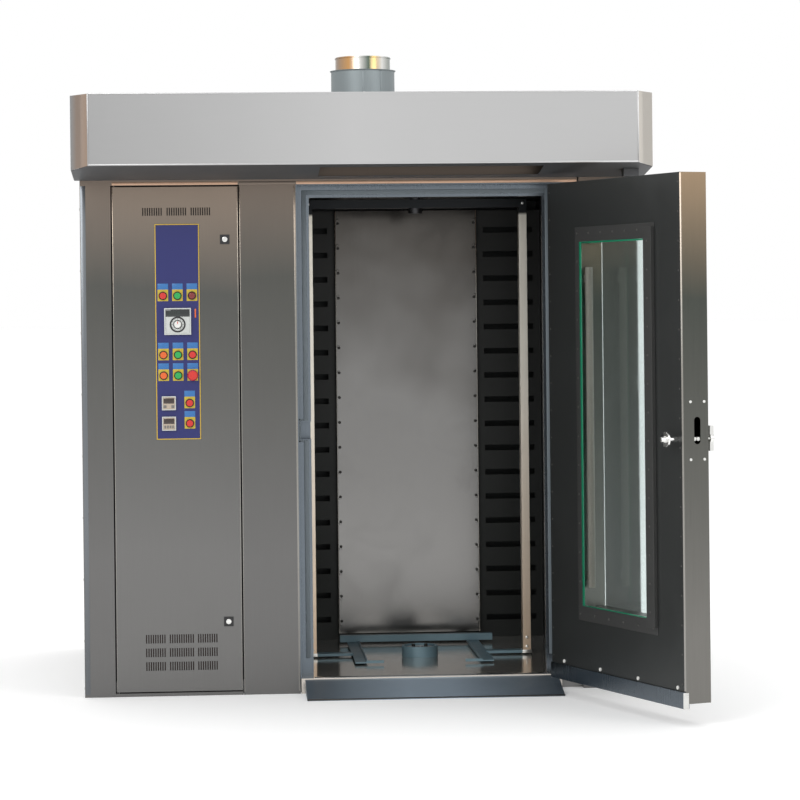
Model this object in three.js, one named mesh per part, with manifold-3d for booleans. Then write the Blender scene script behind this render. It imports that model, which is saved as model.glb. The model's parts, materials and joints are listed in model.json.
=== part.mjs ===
// Rotating rack oven: a stainless cabinet with a service bay on the left, a baking chamber on the
// right, a steam hood over the front and a swinging oven door. Millimetres, +Z up, +Y to the back.
// The origin is the centre of the base on the floor.

import * as THREE from 'three';
import { mergeGeometries, mergeVertices } from 'three/addons/utils/BufferGeometryUtils.js';
import Module from 'manifold-3d';

const wasm = await Module();
wasm.setup();

// ---------------------------------------------------------------------------------- dimensions

// Cabinet
const cabinetHalfWidth = 1008;
const cabinetDepth = 1500;
const cabinetHeight = 1950;
const sheet = 2;
const seam = 5;
const touchGap = 0.3;
const past = 1; // how far a cut or a joined piece runs past the face it meets
const baseHeight = 50;
const trayDepth = 40;
const baseSheet = 3;
const baseChannels = 6;
const roofHoleRoom = 2;

// Front of the service bay
const pillarWidth = 108;
const serviceDoorWidth = 450;
const serviceDoorDepth = 30;
const sillHeight = 12;
const servicePinRadius = 3;
const servicePinLength = 10;
const servicePinInset = 7;
const servicePinBack = 8;

// Baking chamber, centred on the rotor axis
const rotorX = 240;
const rotorY = -145;
const chamberHalfWidth = 545;
const chamberBack = 560;
const chamberHeadroom = 135; // from its ceiling to the cabinet's top
const floorSheet = 4;

// Door recess round the chamber's mouth
const recessHalfWidth = 472;
const recessDepth = 80;
const recessRise = 15; // above the chamber's ceiling
const recessSheet = 3;
const mouthHalfWidth = 425;
const mouthDrop = 27; // below the chamber's ceiling
const mouthLip = 27;

// Duct panel and air columns at the back of the chamber
const ductPanelHalfWidth = 285;
const ductPanelFront = 400;
const ductPanelBottom = 80;
const ductPanelHeadGap = 40;
const ductBoltCount = 17;
const ductBoltMargin = 35.5;
const ductBoltRadius = 5;
const ductBoltHead = 4;
const columnFront = 430;
const columnSlotCount = 17;
const columnSlotHeight = 22;
const columnSlotMargin = 30;

// Entry ramp
const rampLength = 200;
const rampHalfWidth = 458;
const rampNose = 4;

// Hood
const hoodOverhang = 20; // past the cabinet's side
const hoodMitreWidth = 66;
const hoodMitre = 100;
const hoodProjection = 315;
const hoodSeat = 21; // above the door rail
const soffitRise = 36;
const hoodFrontHeight = 250;
const hoodCover = 300; // how far the hood runs back over the roof
const intakeHalfWidth = 395;
const intakeDepth = 200;
const switchBoxSize = [54, 60, 26];
const switchBoxInset = 73;

// Flue
const flueX = 20;
const flueSetback = 150;
const collarRadius = 116;
const collarHeight = 111;
const flueRadius = 100;
const flueAboveCollar = 49;
const flueWall = 3;
const flueLip = 5;
const flueDrop = 20;

// Oven door, drawn closed round its hinge axis and then swung open
const doorOpenAngle = 111;
const doorThickness = 100;
const doorGapFree = 12;
const doorGapHinge = 6;
const doorGapTop = 8;
const doorBottom = 75;
const sealGap = 6;
const hingeSide = 45;
const hingeFront = 13;
const linerSheet = 3;
const windowHingeMargin = 232;
const windowWidth = 478;
const windowBottom = 330;
const windowHeadMargin = 207;
const windowWall = 2;
const trimWidth = 25;
const trimHead = 46;
const trimOverlap = 5;
const channelWidth = 52;
const channelProud = 14;
const glassThickness = 5;
const lampRadius = 13;
const lampFootGap = 70;
const lampHeadGap = 95;
const lampInset = 28.6;
const lampPaneGap = 8; // from the inner pane
const lampBracket = 26;
const sweepHeight = 55;
const sweepBottom = 60;
const sweepThickness = 18;

// Door hinges
const hingeBottom = 300;
const hingeHeadMargin = 262;
const hingeHeight = 120;
const knuckleRadius = 12;
const hingePinRadius = 6;
const strapLength = 150;
const strapThickness = 6;
const hingeRunning = 0.3;
const hingeLeafInset = 14;
const hingeLeafReach = 33.7;

// Door latch
const latchZ = 944;
const latchInset = 34;
const latchShaftRadius = 9;
const latchArmLength = 66;
const latchArmWidth = 18;
const latchArmThickness = 10;
const latchDepth = 58;
const latchSlotWidth = 24;
const latchSlotAbove = 73;
const latchSlotBelow = 17;
const latchKnobDisc = 26;
const latchKnobReach = 62;
const latchTipRadius = 11.7;
const latchCollarRadius = 11.2;
const handleBossRadius = 17.6;
const handleLength = 84;
const handleWidth = 22;
const handleStandOff = 34;
const handleThickness = 14;
const keeperRoom = 10;
const knobPocketInset = 10; // from the side of the recess
const knobRoom = 6;
const latchKnobLength = 22;
const latchDiscLength = 6;

// Rotor
const rotorPostCentre = 410;
const rotorPostWidth = 30;
const rotorPostDepth = 50;
const rotorBottom = 60;
const rotorHeadGap = 17;
const rotorBarHeight = 33;
const rotorShaftRadius = 20;
const rotorBossRadius = 26;
const rotorBossDrop = 20;
const rotorBaseTop = 92;
const rearBarLeft = 288; // both ends are from the rotor's axis
const rearBarRight = 315;
const rearBarLift = 6;
const rearBarOffset = 395;
const rearBarDepth = 30;
const railInner = 213;
const railWidth = 47;
const railDrop = 22; // from the top of the rear bar
const railReach = 255;
const railFlange = 5;
const hookLength = 60;
const bearingRadius = 60;
const bearingHeight = 12;
const bearingNose = 36;
const hubRadius = 69;
const hubWall = 9;
const hubHeight = 40;
const hubStudRadius = 12;
const hubStudHeight = 30;

// Air ports between the heating bay and the back of the chamber
const portHeight = 300;
const lowerPortBottom = 160;
const upperPortHeadGap = 95;
const portMargin = 14;

// Heating and drives inside and on top of the cabinet
const insulationGap = 3;
const insulationRoofGap = 20;
const insulationSide = 50;
const bayCentreRoom = 335; // from the chamber's left wall to the middle of the heating bay
const fanSetback = 330; // from the back of the heat exchanger
const fanRadius = 215;
const fanHeight = 110;
const fanDrop = 255; // below the chamber's ceiling
const fanBladeCount = 12;
const fanShaftRadius = 14;
const motorRadius = 105;
const motorHeight = 225;
const gearboxSize = [210, 210, 110];
const gearMotorLength = 230;
const gearMotorRadius = 62;
const exchangerHalfWidth = 230;
const exchangerFront = -40;
const exchangerBackGap = 90;
const exchangerBottom = 120;
const exchangerDrumTop = 620;
const exchangerFanGap = 180;
const exchangerTubeRadius = 26;
const exchangerLeg = 40;
const exchangerHeader = 120;
const exchangerWall = 6;
const tubesAcross = [0.15, 0.38, 0.62, 0.85];
const tubesDeep = [0.15, 0.5, 0.85];
const exhaustRadius = 60;
const exhaustOffset = 160;
const exhaustInset = 70;
const exhaustRise = 170;
const exhaustWall = 4;
const burnerZ = 230;
const burnerSize = [260, 240, 280];
const burnerTubeRadius = 55;
const burnerStandOff = 300;
const burnerMotorLength = 60;
const burnerMotorRadius = 100;
const burnerWall = 4;
const insulationHoleRoom = 12;
const shaftEndRoom = 22;
const fanShaftGrip = 38;
const gearNeckHeight = 12;
const gearNeckRadius = 40;
const motorFlangeRadius = 126;
const motorFlange = 14;
const motorChamfer = 20;
const fanSheet = 4;
const fanHubRadius = 34;
const fanEyeRadius = 131;

// Controls on the service door
const plateWidth = 160;
const plateFootMargin = 58;
const plateHeadGap = 133;
const plateOffset = 5.5; // to the right of the service door's middle
const plateThickness = 3;
const buttonPitch = 52;
const buttonRowDrop = [258, 470, 544]; // all drops are from the plate's top
const lowerRowDrop = [643, 716];
const lowerButtonOffset = 40;
const smallControllerOffset = -34.5;
const smallControllerSize = 48;
const smallControllerDepth = 8;
const controllerSize = 96;
const controllerDepth = 10;
const controllerDrop = 350;
const dialDrop = 11; // below the controller's middle
const dialRadius = 13;
const dialLength = 15;
const dialFaceRadius = 11.7;
const bezelRadius = 14.7;
const bezelHeight = 7;
const capRadius = 11.8;
const capRunning = 0.5;
const capLength = 8;
const buttonTravel = 4;
const buttonRoom = 1;
const bezelChamfer = 1.5;
const mushroomRadius = 20;
const mushroomHeight = 14;
const mushroomFaceRadius = 16;
const lockInset = 48;
const lockFootMargin = 248;
const lockHeadMargin = 190;
const lockHead = 34;
const lockHeadDepth = 4;
const lockShaftRadius = 8;
const lockCamLength = 64;
const lockCamWidth = 20;
const lockCamGap = 3;
const lockCamThickness = 3;
const ventSlotWidth = 4;
const ventSlotPitch = 8.2;
const upperVent = { drop: 103, height: 28, starts: [108, 195, 281], counts: [9, 9, 9] };
const lowerVent = {
  rise: 75.5, height: 31, rows: 3, rowPitch: 49, starts: [105, 190, 291], counts: [9, 11, 9],
};

// Steps on round pieces
const fine = 36;
const medium = 24;
const coarse = 16;
const boltSteps = 8;

// --------------------------------------------------------------------------- derived places

const front = -cabinetDepth / 2;
const back = cabinetDepth / 2;
const inner = cabinetHalfWidth - sheet;
const roofUnder = cabinetHeight - sheet;
const floorTop = baseHeight + floorSheet;
const recessLeft = rotorX - recessHalfWidth;
const recessRight = rotorX + recessHalfWidth;
const recessBase = front + recessDepth;
const chamberTop = cabinetHeight - chamberHeadroom;
const recessTop = chamberTop + recessRise;
const mouthTop = chamberTop - mouthDrop;
const railTop = recessTop + recessSheet;
const chamberLeft = rotorX - chamberHalfWidth;
const chamberRight = rotorX + chamberHalfWidth;
const chamberFront = recessBase + recessSheet;
const serviceLeft = -inner + pillarWidth + seam;
const serviceRight = serviceLeft + serviceDoorWidth;
const serviceTop = railTop - seam;
const serviceBottom = sillHeight + seam;
const centreRight = recessLeft - recessSheet;
const jambRight = chamberRight + seam;
const ductPanelTop = chamberTop - ductPanelHeadGap;
const ductBoltPitch = (ductPanelTop - ductPanelBottom - 2 * ductBoltMargin) / (ductBoltCount - 1);
const lowerPortTop = lowerPortBottom + portHeight;
const upperPortTop = chamberTop - upperPortHeadGap;
const portSpanZ = [[lowerPortBottom, lowerPortTop], [upperPortTop - portHeight, upperPortTop]];
const insulationTop = cabinetHeight - insulationRoofGap;
const bayX = chamberLeft - bayCentreRoom;
const fanZ = chamberTop - fanDrop;
const exchangerTop = fanZ - exchangerFanGap;
const exchangerBack = back - exchangerBackGap;
const fanY = exchangerBack - fanSetback;
const exhaustX = bayX - exhaustOffset;
const exhaustY = exchangerBack - exhaustInset;
const exhaustTop = cabinetHeight + exhaustRise;
const rotorTop = chamberTop - rotorHeadGap;
const hoodHalfWidth = cabinetHalfWidth + hoodOverhang;
const hoodFrontHalfWidth = hoodHalfWidth - hoodMitreWidth;
const hoodFront = front - hoodProjection;
const hoodBack = front + hoodCover;
const hoodBackBottom = railTop + hoodSeat;
const hoodFrontBottom = hoodBackBottom + soffitRise;
const hoodTop = hoodFrontBottom + hoodFrontHeight;
const switchBoxX = hoodHalfWidth - switchBoxInset;
const flueY = front + flueSetback;
const collarTop = hoodTop + collarHeight;
const flueTop = collarTop + flueAboveCollar;
const doorFreeX = recessLeft + doorGapFree;
const doorHingeX = recessRight - doorGapHinge;
const doorWidth = doorHingeX - doorFreeX;
const doorTop = recessTop - doorGapTop;
const windowTop = doorTop - windowHeadMargin;
const hingeZ = [hingeBottom, doorTop - hingeHeadMargin];
const plateX = (serviceLeft + serviceRight) / 2 + plateOffset;
const plateTop = serviceTop - plateHeadGap;
const controllerZ = plateTop - controllerDrop;
const dialZ = controllerZ - dialDrop;
const buttonRowZ = buttonRowDrop.map((drop) => plateTop - drop);
const lowerRowZ = lowerRowDrop.map((drop) => plateTop - drop);
const lowerButtonX = plateX + lowerButtonOffset;
const smallControllerX = plateX + smallControllerOffset;
const lockX = serviceRight - lockInset;
const lockZ = [serviceBottom + lockFootMargin, serviceTop - lockHeadMargin];
const pivotX = doorHingeX + hingeSide;
const pivotY = recessBase - sealGap - doorThickness - hingeFront;

// ---------------------------------------------------------------------------------- helpers

/** A box given by its spans along X, Y and Z. */
function box([x0, x1], [y0, y1], [z0, z1]) {
  const geometry = new THREE.BoxGeometry(x1 - x0, y1 - y0, z1 - z0);
  return geometry.translate((x0 + x1) / 2, (y0 + y1) / 2, (z0 + z1) / 2);
}

/** A round bar along Z, Y or X, from one end to the other. */
function bar(axis, [a, b], radius, [start, end], steps = medium, endRadius = radius) {
  const geometry = new THREE.CylinderGeometry(endRadius, radius, end - start, steps);
  const middle = (start + end) / 2;
  if (axis === 'z') return geometry.rotateX(Math.PI / 2).translate(a, b, middle);
  if (axis === 'y') return geometry.translate(a, middle, b);
  return geometry.rotateZ(-Math.PI / 2).translate(middle, a, b);
}

/** A solid turned round Z from a closed profile of [radius, z] points. */
function turned(profile, steps = medium) {
  const points = profile.map(([radius, z]) => new THREE.Vector2(radius, z));
  return new THREE.LatheGeometry(points, steps).rotateX(Math.PI / 2);
}

/** A plate along Z whose outline is a list of [x, y] points. */
function plate(outline, [z0, z1]) {
  const shape = new THREE.Shape(outline.map(([x, y]) => new THREE.Vector2(x, y)));
  return new THREE.ExtrudeGeometry(shape, { depth: z1 - z0, bevelEnabled: false }).translate(0, 0, z0);
}

/** An upright wall plate that faces -Y: an outline in X and Z, extruded along Y. */
function wall(outline, [y0, y1]) {
  const shape = new THREE.Shape(outline.map(([x, z]) => new THREE.Vector2(x, z)));
  const geometry = new THREE.ExtrudeGeometry(shape, { depth: y1 - y0, bevelEnabled: false });
  return geometry.rotateX(Math.PI / 2).translate(0, y1, 0);
}

/** A length along X whose side outline is a list of [y, z] points. */
function length(outline, [x0, x1]) {
  const shape = new THREE.Shape(outline.map(([y, z]) => new THREE.Vector2(y, z)));
  const geometry = new THREE.ExtrudeGeometry(shape, { depth: x1 - x0, bevelEnabled: false });
  const alongX = new THREE.Matrix4().makeBasis(
    new THREE.Vector3(0, 1, 0),
    new THREE.Vector3(0, 0, 1),
    new THREE.Vector3(1, 0, 0),
  );
  return geometry.applyMatrix4(alongX).translate(x0, 0, 0);
}

/** Turns a closed geometry into a solid that can be joined and cut. */
function solid(geometry) {
  const bare = geometry.clone();
  bare.deleteAttribute('normal');
  bare.deleteAttribute('uv');
  const merged = mergeVertices(bare, 1e-4);
  const vertProperties = new Float32Array(merged.attributes.position.array);
  const triVerts = new Uint32Array(merged.index.array);
  return new wasm.Manifold(new wasm.Mesh({ numProp: 3, vertProperties, triVerts }));
}

/** Turns a solid back into a geometry. */
function geometryOf(joined) {
  const mesh = joined.getMesh();
  const geometry = new THREE.BufferGeometry();
  geometry.setAttribute('position', new THREE.BufferAttribute(mesh.vertProperties, 3));
  geometry.setIndex(new THREE.BufferAttribute(mesh.triVerts, 1));
  geometry.computeVertexNormals();
  return geometry;
}

/** Joins pieces and then cuts others out of them. */
function build(pieces, cuts = []) {
  let result = solid(pieces[0]);
  for (const piece of pieces.slice(1)) result = result.add(solid(piece));
  for (const cut of cuts) result = result.subtract(solid(cut));
  return geometryOf(result);
}

/** A sheet tray that faces -Y: a front skin with four returns. */
function tray([x0, x1], [y0, y1], [z0, z1], cuts = []) {
  const hollow = box([x0 + sheet, x1 - sheet], [y0 + sheet, y1 + past], [z0 + sheet, z1 - sheet]);
  return build([box([x0, x1], [y0, y1], [z0, z1])], [hollow, ...cuts]);
}

const stainless = { color: 0x86847c, roughness: 0.34, metalness: 1 };
const brightSteel = { color: 0xb4b6b6, roughness: 0.24, metalness: 1 };
const darkSteel = { color: 0x3b3d3e, roughness: 0.42, metalness: 1 };
const blueGrey = { color: 0x55636c, roughness: 0.4, metalness: 0.8 };
const polished = { color: 0xc8c8c4, roughness: 0.08, metalness: 1 };
const castIron = { color: 0x44474a, roughness: 0.6, metalness: 0.5 };
const motorBlue = { color: 0x3a5a78, roughness: 0.5, metalness: 0.2 };
const burnerRed = { color: 0x8e2a1e, roughness: 0.45, metalness: 0.1 };
const wool = { color: 0xa89a6a, roughness: 0.95, metalness: 0 };
const controlBlue = { color: 0x373c96, roughness: 0.45, metalness: 0 };
const darkPlastic = { color: 0x1f2123, roughness: 0.5, metalness: 0 };
const palePlastic = { color: 0xd5d7d4, roughness: 0.45, metalness: 0 };
const glass = { color: 0x8fb5a8, roughness: 0.05, metalness: 0, transparent: true, opacity: 0.35 };
const capRed = { color: 0xc2281e, roughness: 0.35, metalness: 0 };
const capGreen = { color: 0x1f9a4a, roughness: 0.35, metalness: 0 };
const capOrange = { color: 0xdc5a1e, roughness: 0.35, metalness: 0 };

const oven = new THREE.Group();

/** Adds one named piece with its finish to a group. */
function add(group, name, geometry, finish) {
  const mesh = new THREE.Mesh(geometry, new THREE.MeshStandardMaterial(finish));
  mesh.name = name;
  group.add(mesh);
}

// ---------------------------------------------------------------------------------- cabinet

function addCabinet(group) {
  const sideSpan = [front, back];
  const height = [0, roofUnder];
  const panDepth = [front + trayDepth, back - sheet];
  const channel = (2 * inner - baseSheet) / baseChannels;
  const hollows = [];
  for (let index = 0; index < baseChannels; index += 1) {
    const left = -inner + baseSheet + index * channel;
    const hollowDepth = [panDepth[0] + baseSheet, panDepth[1] + past];
    hollows.push(box([left, left + channel - baseSheet], hollowDepth, [baseSheet, baseHeight - baseSheet]));
  }
  const pan = box([-inner, inner], panDepth, [0, baseHeight]);
  add(group, 'base_pan', build([pan], [mergeGeometries(hollows)]), stainless);
  add(group, 'left_side_panel', box([-cabinetHalfWidth, -inner], sideSpan, height), stainless);
  add(group, 'right_side_panel', box([inner, cabinetHalfWidth], sideSpan, height), stainless);
  add(group, 'rear_panel', box([-inner, inner], [back - sheet, back], height), stainless);

  const roofSpan = [cabinetHeight - sheet, cabinetHeight];
  const roofCut = [roofSpan[0] - past, roofSpan[1] + past];
  const roofHoles = [
    bar('z', [rotorX, rotorY], rotorShaftRadius + roofHoleRoom, roofCut, coarse),
    bar('z', [bayX, fanY], fanShaftRadius + roofHoleRoom, roofCut, coarse),
    bar('z', [exhaustX, exhaustY], exhaustRadius + touchGap, roofCut, medium),
  ];
  const roof = box([-cabinetHalfWidth, cabinetHalfWidth], sideSpan, roofSpan);
  add(group, 'roof_panel', build([roof], roofHoles), stainless);
}

function addFrontPanels(group) {
  const depth = [front, front + trayDepth];
  const pillar = [-inner, -inner + pillarWidth];
  const railEnd = jambRight - seam;
  const innerDepth = [front + sheet, front + trayDepth + past];
  const sill = box([pillar[1] - sheet, serviceRight + sheet], [front + sheet, depth[1]], [0, sillHeight]);
  const pinX = serviceLeft + servicePinInset;
  const pinY = front + servicePinBack;
  const pin = (span) => bar('z', [pinX, pinY], servicePinRadius, span, coarse);
  const upperPin = pin([railTop - servicePinLength, railTop + past]);
  const lowerPin = pin([sillHeight - past, sillHeight + servicePinLength]);
  const pillarHollow = box([pillar[0] + sheet, pillar[1] - sheet], innerDepth, [sheet, roofUnder - sheet]);
  const railHollowX = [pillar[0] + sheet, railEnd - sheet];
  const railHollow = box(railHollowX, innerDepth, [railTop + sheet, roofUnder - sheet]);
  const frame = solid(box(pillar, depth, [0, roofUnder]))
    .add(solid(box([pillar[0], railEnd], depth, [railTop, roofUnder])))
    .subtract(solid(pillarHollow))
    .subtract(solid(railHollow));
  add(group, 'front_left_frame', build([geometryOf(frame), sill, upperPin, lowerPin]), stainless);

  const keeper = keeperSlot();
  const centre = [serviceRight + seam, centreRight];
  add(group, 'centre_front_panel', tray(centre, depth, [0, railTop], [keeper]), stainless);
  add(group, 'right_front_panel', tray([jambRight, inner], depth, [0, roofUnder]), stainless);
}

/** The slot in the left jamb that takes the latch arm when the door is shut and latched. */
function keeperSlot() {
  const armY = recessBase - sealGap - latchDepth;
  const reach = latchArmLength - latchInset - doorGapFree + keeperRoom;
  return box(
    [recessLeft - reach, recessLeft + past],
    [armY - latchSlotWidth / 2, armY + latchSlotWidth / 2],
    [latchZ - latchSlotBelow, latchZ + latchSlotAbove],
  );
}

// ----------------------------------------------------------------------------- baking chamber

/** A block round the inner knob of the shut door, grown by a sheet thickness on the closed sides. */
function knobPocket(start, end, sheetRoom) {
  const knobBack = recessBase - sealGap + latchKnobReach + knobRoom;
  const half = latchKnobDisc + knobRoom + sheetRoom;
  return box(
    [recessLeft + knobPocketInset - sheetRoom, end],
    [start, knobBack + sheetRoom],
    [latchZ - half, latchZ + half],
  );
}

function addChamber(group) {
  const mouthLeft = rotorX - mouthHalfWidth;
  const mouthRight = rotorX + mouthHalfWidth;
  const recessInner = [recessLeft, recessRight];
  const frontWall = wall(
    [
      [chamberLeft, floorTop], [mouthLeft, floorTop], [mouthLeft, mouthTop], [mouthRight, mouthTop],
      [mouthRight, floorTop], [chamberRight, floorTop], [chamberRight, chamberTop],
      [recessRight + recessSheet, chamberTop], [recessRight + recessSheet, railTop], [centreRight, railTop],
      [centreRight, chamberTop], [chamberLeft, chamberTop],
    ],
    [recessBase, chamberFront],
  );
  const recessSpan = [front, chamberFront];
  const recessHeight = [floorTop, railTop];
  const lipSpan = [chamberFront - past, chamberFront + mouthLip];
  const frame = [
    frontWall,
    box([centreRight, recessLeft], recessSpan, recessHeight),
    box([recessRight, recessRight + recessSheet], recessSpan, recessHeight),
    box([centreRight, recessRight + recessSheet], recessSpan, [recessTop, railTop]),
    box([recessRight, jambRight - seam], [front, front + recessSheet], recessHeight),
    box([jambRight - seam - recessSheet, jambRight - seam], [front, front + trayDepth], recessHeight),
    box([mouthLeft - recessSheet, mouthLeft], lipSpan, [floorTop, mouthTop + recessSheet]),
    box([mouthRight, mouthRight + recessSheet], lipSpan, [floorTop, mouthTop + recessSheet]),
    box([mouthLeft - recessSheet, mouthRight + recessSheet], lipSpan, [mouthTop, mouthTop + recessSheet]),
    knobPocket(chamberFront - past, mouthLeft, recessSheet),
  ];
  const frameCuts = [keeperSlot(), knobPocket(recessBase - past, mouthLeft + past, 0)];
  add(group, 'door_frame', build(frame, frameCuts), stainless);

  const floorSpan = [baseHeight, floorTop];
  const floor = plate(
    [
      [recessInner[0], front], [recessInner[1], front], [recessInner[1], recessBase],
      [chamberRight, recessBase], [chamberRight, chamberBack], [chamberLeft, chamberBack],
      [chamberLeft, recessBase], [recessInner[0], recessBase],
    ],
    floorSpan,
  );
  const floorLip = box(recessInner, [front, front + sheet], [0, floorTop]);
  add(group, 'chamber_floor', build([floor, floorLip]), brightSteel);

  const depth = [recessBase, chamberBack];
  const height = [baseHeight, chamberTop];
  const leftWall = box([chamberLeft - sheet, chamberLeft], depth, height);
  add(group, 'chamber_left_wall', build([leftWall], airPorts()), darkSteel);
  add(group, 'chamber_right_wall', box([chamberRight, chamberRight + sheet], depth, height), darkSteel);
  const rearSpan = [chamberLeft - sheet, chamberRight + sheet];
  add(group, 'chamber_rear_wall', box(rearSpan, [chamberBack, chamberBack + sheet], height), darkSteel);
  const ceiling = box(rearSpan, [chamberFront, chamberBack + sheet], [chamberTop, chamberTop + sheet]);
  const holeSpan = [chamberTop - past, chamberTop + sheet + past];
  const shaftHole = bar('z', [rotorX, rotorY], rotorShaftRadius + roofHoleRoom, holeSpan, coarse);
  add(group, 'chamber_ceiling', build([ceiling], [shaftHole]), darkSteel);
}

/** The openings through the left chamber wall that the hot air goes in and out by. */
function airPorts() {
  const depth = [columnFront + sheet + portMargin, chamberBack - portMargin];
  const reach = [chamberLeft - sheet - insulationGap - insulationSide - past, chamberLeft + past];
  return portSpanZ.map((height) => box(reach, depth, height));
}

function addAirDuct(group) {
  const panel = [rotorX - ductPanelHalfWidth, rotorX + ductPanelHalfWidth];
  const panelHeight = [ductPanelBottom, ductPanelTop];
  const hollowDepth = [ductPanelFront + sheet, chamberBack + past];
  const hollow = box([panel[0] + sheet, panel[1] - sheet], hollowDepth, [0, cabinetHeight]);
  const skin = build([box(panel, [ductPanelFront, chamberBack], panelHeight)], [hollow]);
  const bolts = [];
  const firstBolt = ductPanelBottom + ductBoltMargin;
  for (let row = 0; row < ductBoltCount; row += 1) {
    for (const x of [panel[0] + ductBoltRadius * 2, panel[1] - ductBoltRadius * 2]) {
      const head = [ductPanelFront - ductBoltHead, ductPanelFront + past];
      bolts.push(bar('y', [x, firstBolt + row * ductBoltPitch], ductBoltRadius, head, boltSteps));
    }
  }
  add(group, 'rear_air_panel', build([skin, mergeGeometries(bolts)]), brightSteel);

  const slotPitch = (ductPanelTop - floorTop - 2 * columnSlotMargin) / columnSlotCount;
  const columns = {
    air_column_left: [chamberLeft, panel[0]],
    air_column_right: [panel[1], chamberRight],
  };
  for (const [name, [x0, x1]] of Object.entries(columns)) {
    const slots = [];
    for (let row = 0; row < columnSlotCount; row += 1) {
      const z = floorTop + columnSlotMargin + (row + 0.5) * slotPitch;
      const span = [z - columnSlotHeight / 2, z + columnSlotHeight / 2];
      const through = [columnFront - past, columnFront + sheet + past];
      slots.push(box([x0 + columnSlotMargin, x1 - columnSlotMargin], through, span));
    }
    const face = box([x0, x1], [columnFront, columnFront + sheet], [floorTop, ductPanelTop]);
    add(group, name, build([face], [mergeGeometries(slots)]), darkSteel);
  }
}

function addRamp(group) {
  const side = [[front - rampLength, 0], [front, 0], [front, baseHeight], [front - rampLength, rampNose]];
  add(group, 'entry_ramp', length(side, [rotorX - rampHalfWidth, rotorX + rampHalfWidth]), blueGrey);
}

// --------------------------------------------------------------------------------- hood, flue

/** The hood's outline seen from above, drawn in by an inset. */
function hoodOutline(inset, backY) {
  const side = hoodHalfWidth - inset;
  const face = hoodFrontHalfWidth - inset / 2;
  const y = hoodFront + inset;
  const mitre = hoodFront + hoodMitre;
  return [[-face, y], [face, y], [side, mitre], [side, backY], [-side, backY], [-side, mitre]];
}

/** A block below the sloping soffit line, used to cut the hood's lower edge. */
function belowSoffit(lift) {
  const side = [
    [hoodFront - past, 0], [front, 0], [front, hoodBackBottom + lift],
    [hoodFront, hoodFrontBottom + lift], [hoodFront - past, hoodFrontBottom + lift],
  ];
  return solid(length(side, [-hoodHalfWidth - past, hoodHalfWidth + past]));
}

function addHood(group) {
  const overRoof = box([-hoodHalfWidth - past, hoodHalfWidth + past], [front, back], [0, cabinetHeight]);
  const flueSpan = [hoodTop - sheet - past, hoodTop + past];
  const flueHole = bar('z', [flueX, flueY], flueRadius + touchGap, flueSpan, fine);
  const shell = solid(plate(hoodOutline(0, hoodBack), [hoodBackBottom - past, hoodTop]))
    .subtract(solid(plate(hoodOutline(sheet, hoodBack - sheet), [0, hoodTop - sheet])))
    .subtract(belowSoffit(0))
    .subtract(solid(overRoof))
    .subtract(solid(flueHole));
  add(group, 'hood_shell', geometryOf(shell), brightSteel);

  const soffitOutline = solid(plate(hoodOutline(sheet + touchGap, front), [0, hoodTop]));
  const intakeY = (hoodFront + front) / 2;
  const intake = box(
    [rotorX - intakeHalfWidth, rotorX + intakeHalfWidth],
    [intakeY - intakeDepth / 2, intakeY + intakeDepth / 2],
    [0, hoodTop],
  );
  const soffitMiddle = (hoodFrontBottom + hoodBackBottom) / 2;
  const switchBox = box(
    [switchBoxX - switchBoxSize[0] / 2, switchBoxX + switchBoxSize[0] / 2],
    [intakeY - switchBoxSize[1] / 2, intakeY + switchBoxSize[1] / 2],
    [soffitMiddle - switchBoxSize[2], soffitMiddle + past],
  );
  const soffit = soffitOutline.intersect(belowSoffit(0)).subtract(belowSoffit(-sheet))
    .subtract(solid(intake))
    .add(solid(switchBox));
  add(group, 'hood_soffit', geometryOf(soffit), stainless);

  const collar = [
    [flueRadius + touchGap, hoodTop], [collarRadius, hoodTop], [collarRadius, collarTop - flueLip],
    [collarRadius + flueLip, collarTop], [flueRadius + touchGap, collarTop], [flueRadius + touchGap, hoodTop],
  ];
  add(group, 'flue_collar', turned(collar, fine).translate(flueX, flueY, 0), blueGrey);
  const pipeBottom = hoodTop - flueDrop;
  const pipe = [
    [flueRadius - flueWall, pipeBottom], [flueRadius, pipeBottom], [flueRadius, flueTop],
    [flueRadius - flueWall, flueTop], [flueRadius - flueWall, pipeBottom],
  ];
  add(group, 'flue_pipe', turned(pipe, fine).translate(flueX, flueY, 0), polished);
}

// ------------------------------------------------------------------- heating, fan and drives

function addInsulation(group) {
  const wrap = sheet + insulationGap;
  const outer = box(
    [chamberLeft - wrap - insulationSide, inner - insulationGap],
    [recessBase + trayDepth, back - sheet - insulationGap],
    [baseHeight, insulationTop],
  );
  const hollow = box(
    [chamberLeft - wrap, chamberRight + wrap], [front, chamberBack + wrap], [0, chamberTop + wrap],
  );
  const holeSpan = [chamberTop, insulationTop + past];
  const shaftHole = bar('z', [rotorX, rotorY], rotorShaftRadius + insulationHoleRoom, holeSpan, coarse);
  add(group, 'insulation_jacket', build([outer], [hollow, shaftHole, ...airPorts()]), wool);
}

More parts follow.
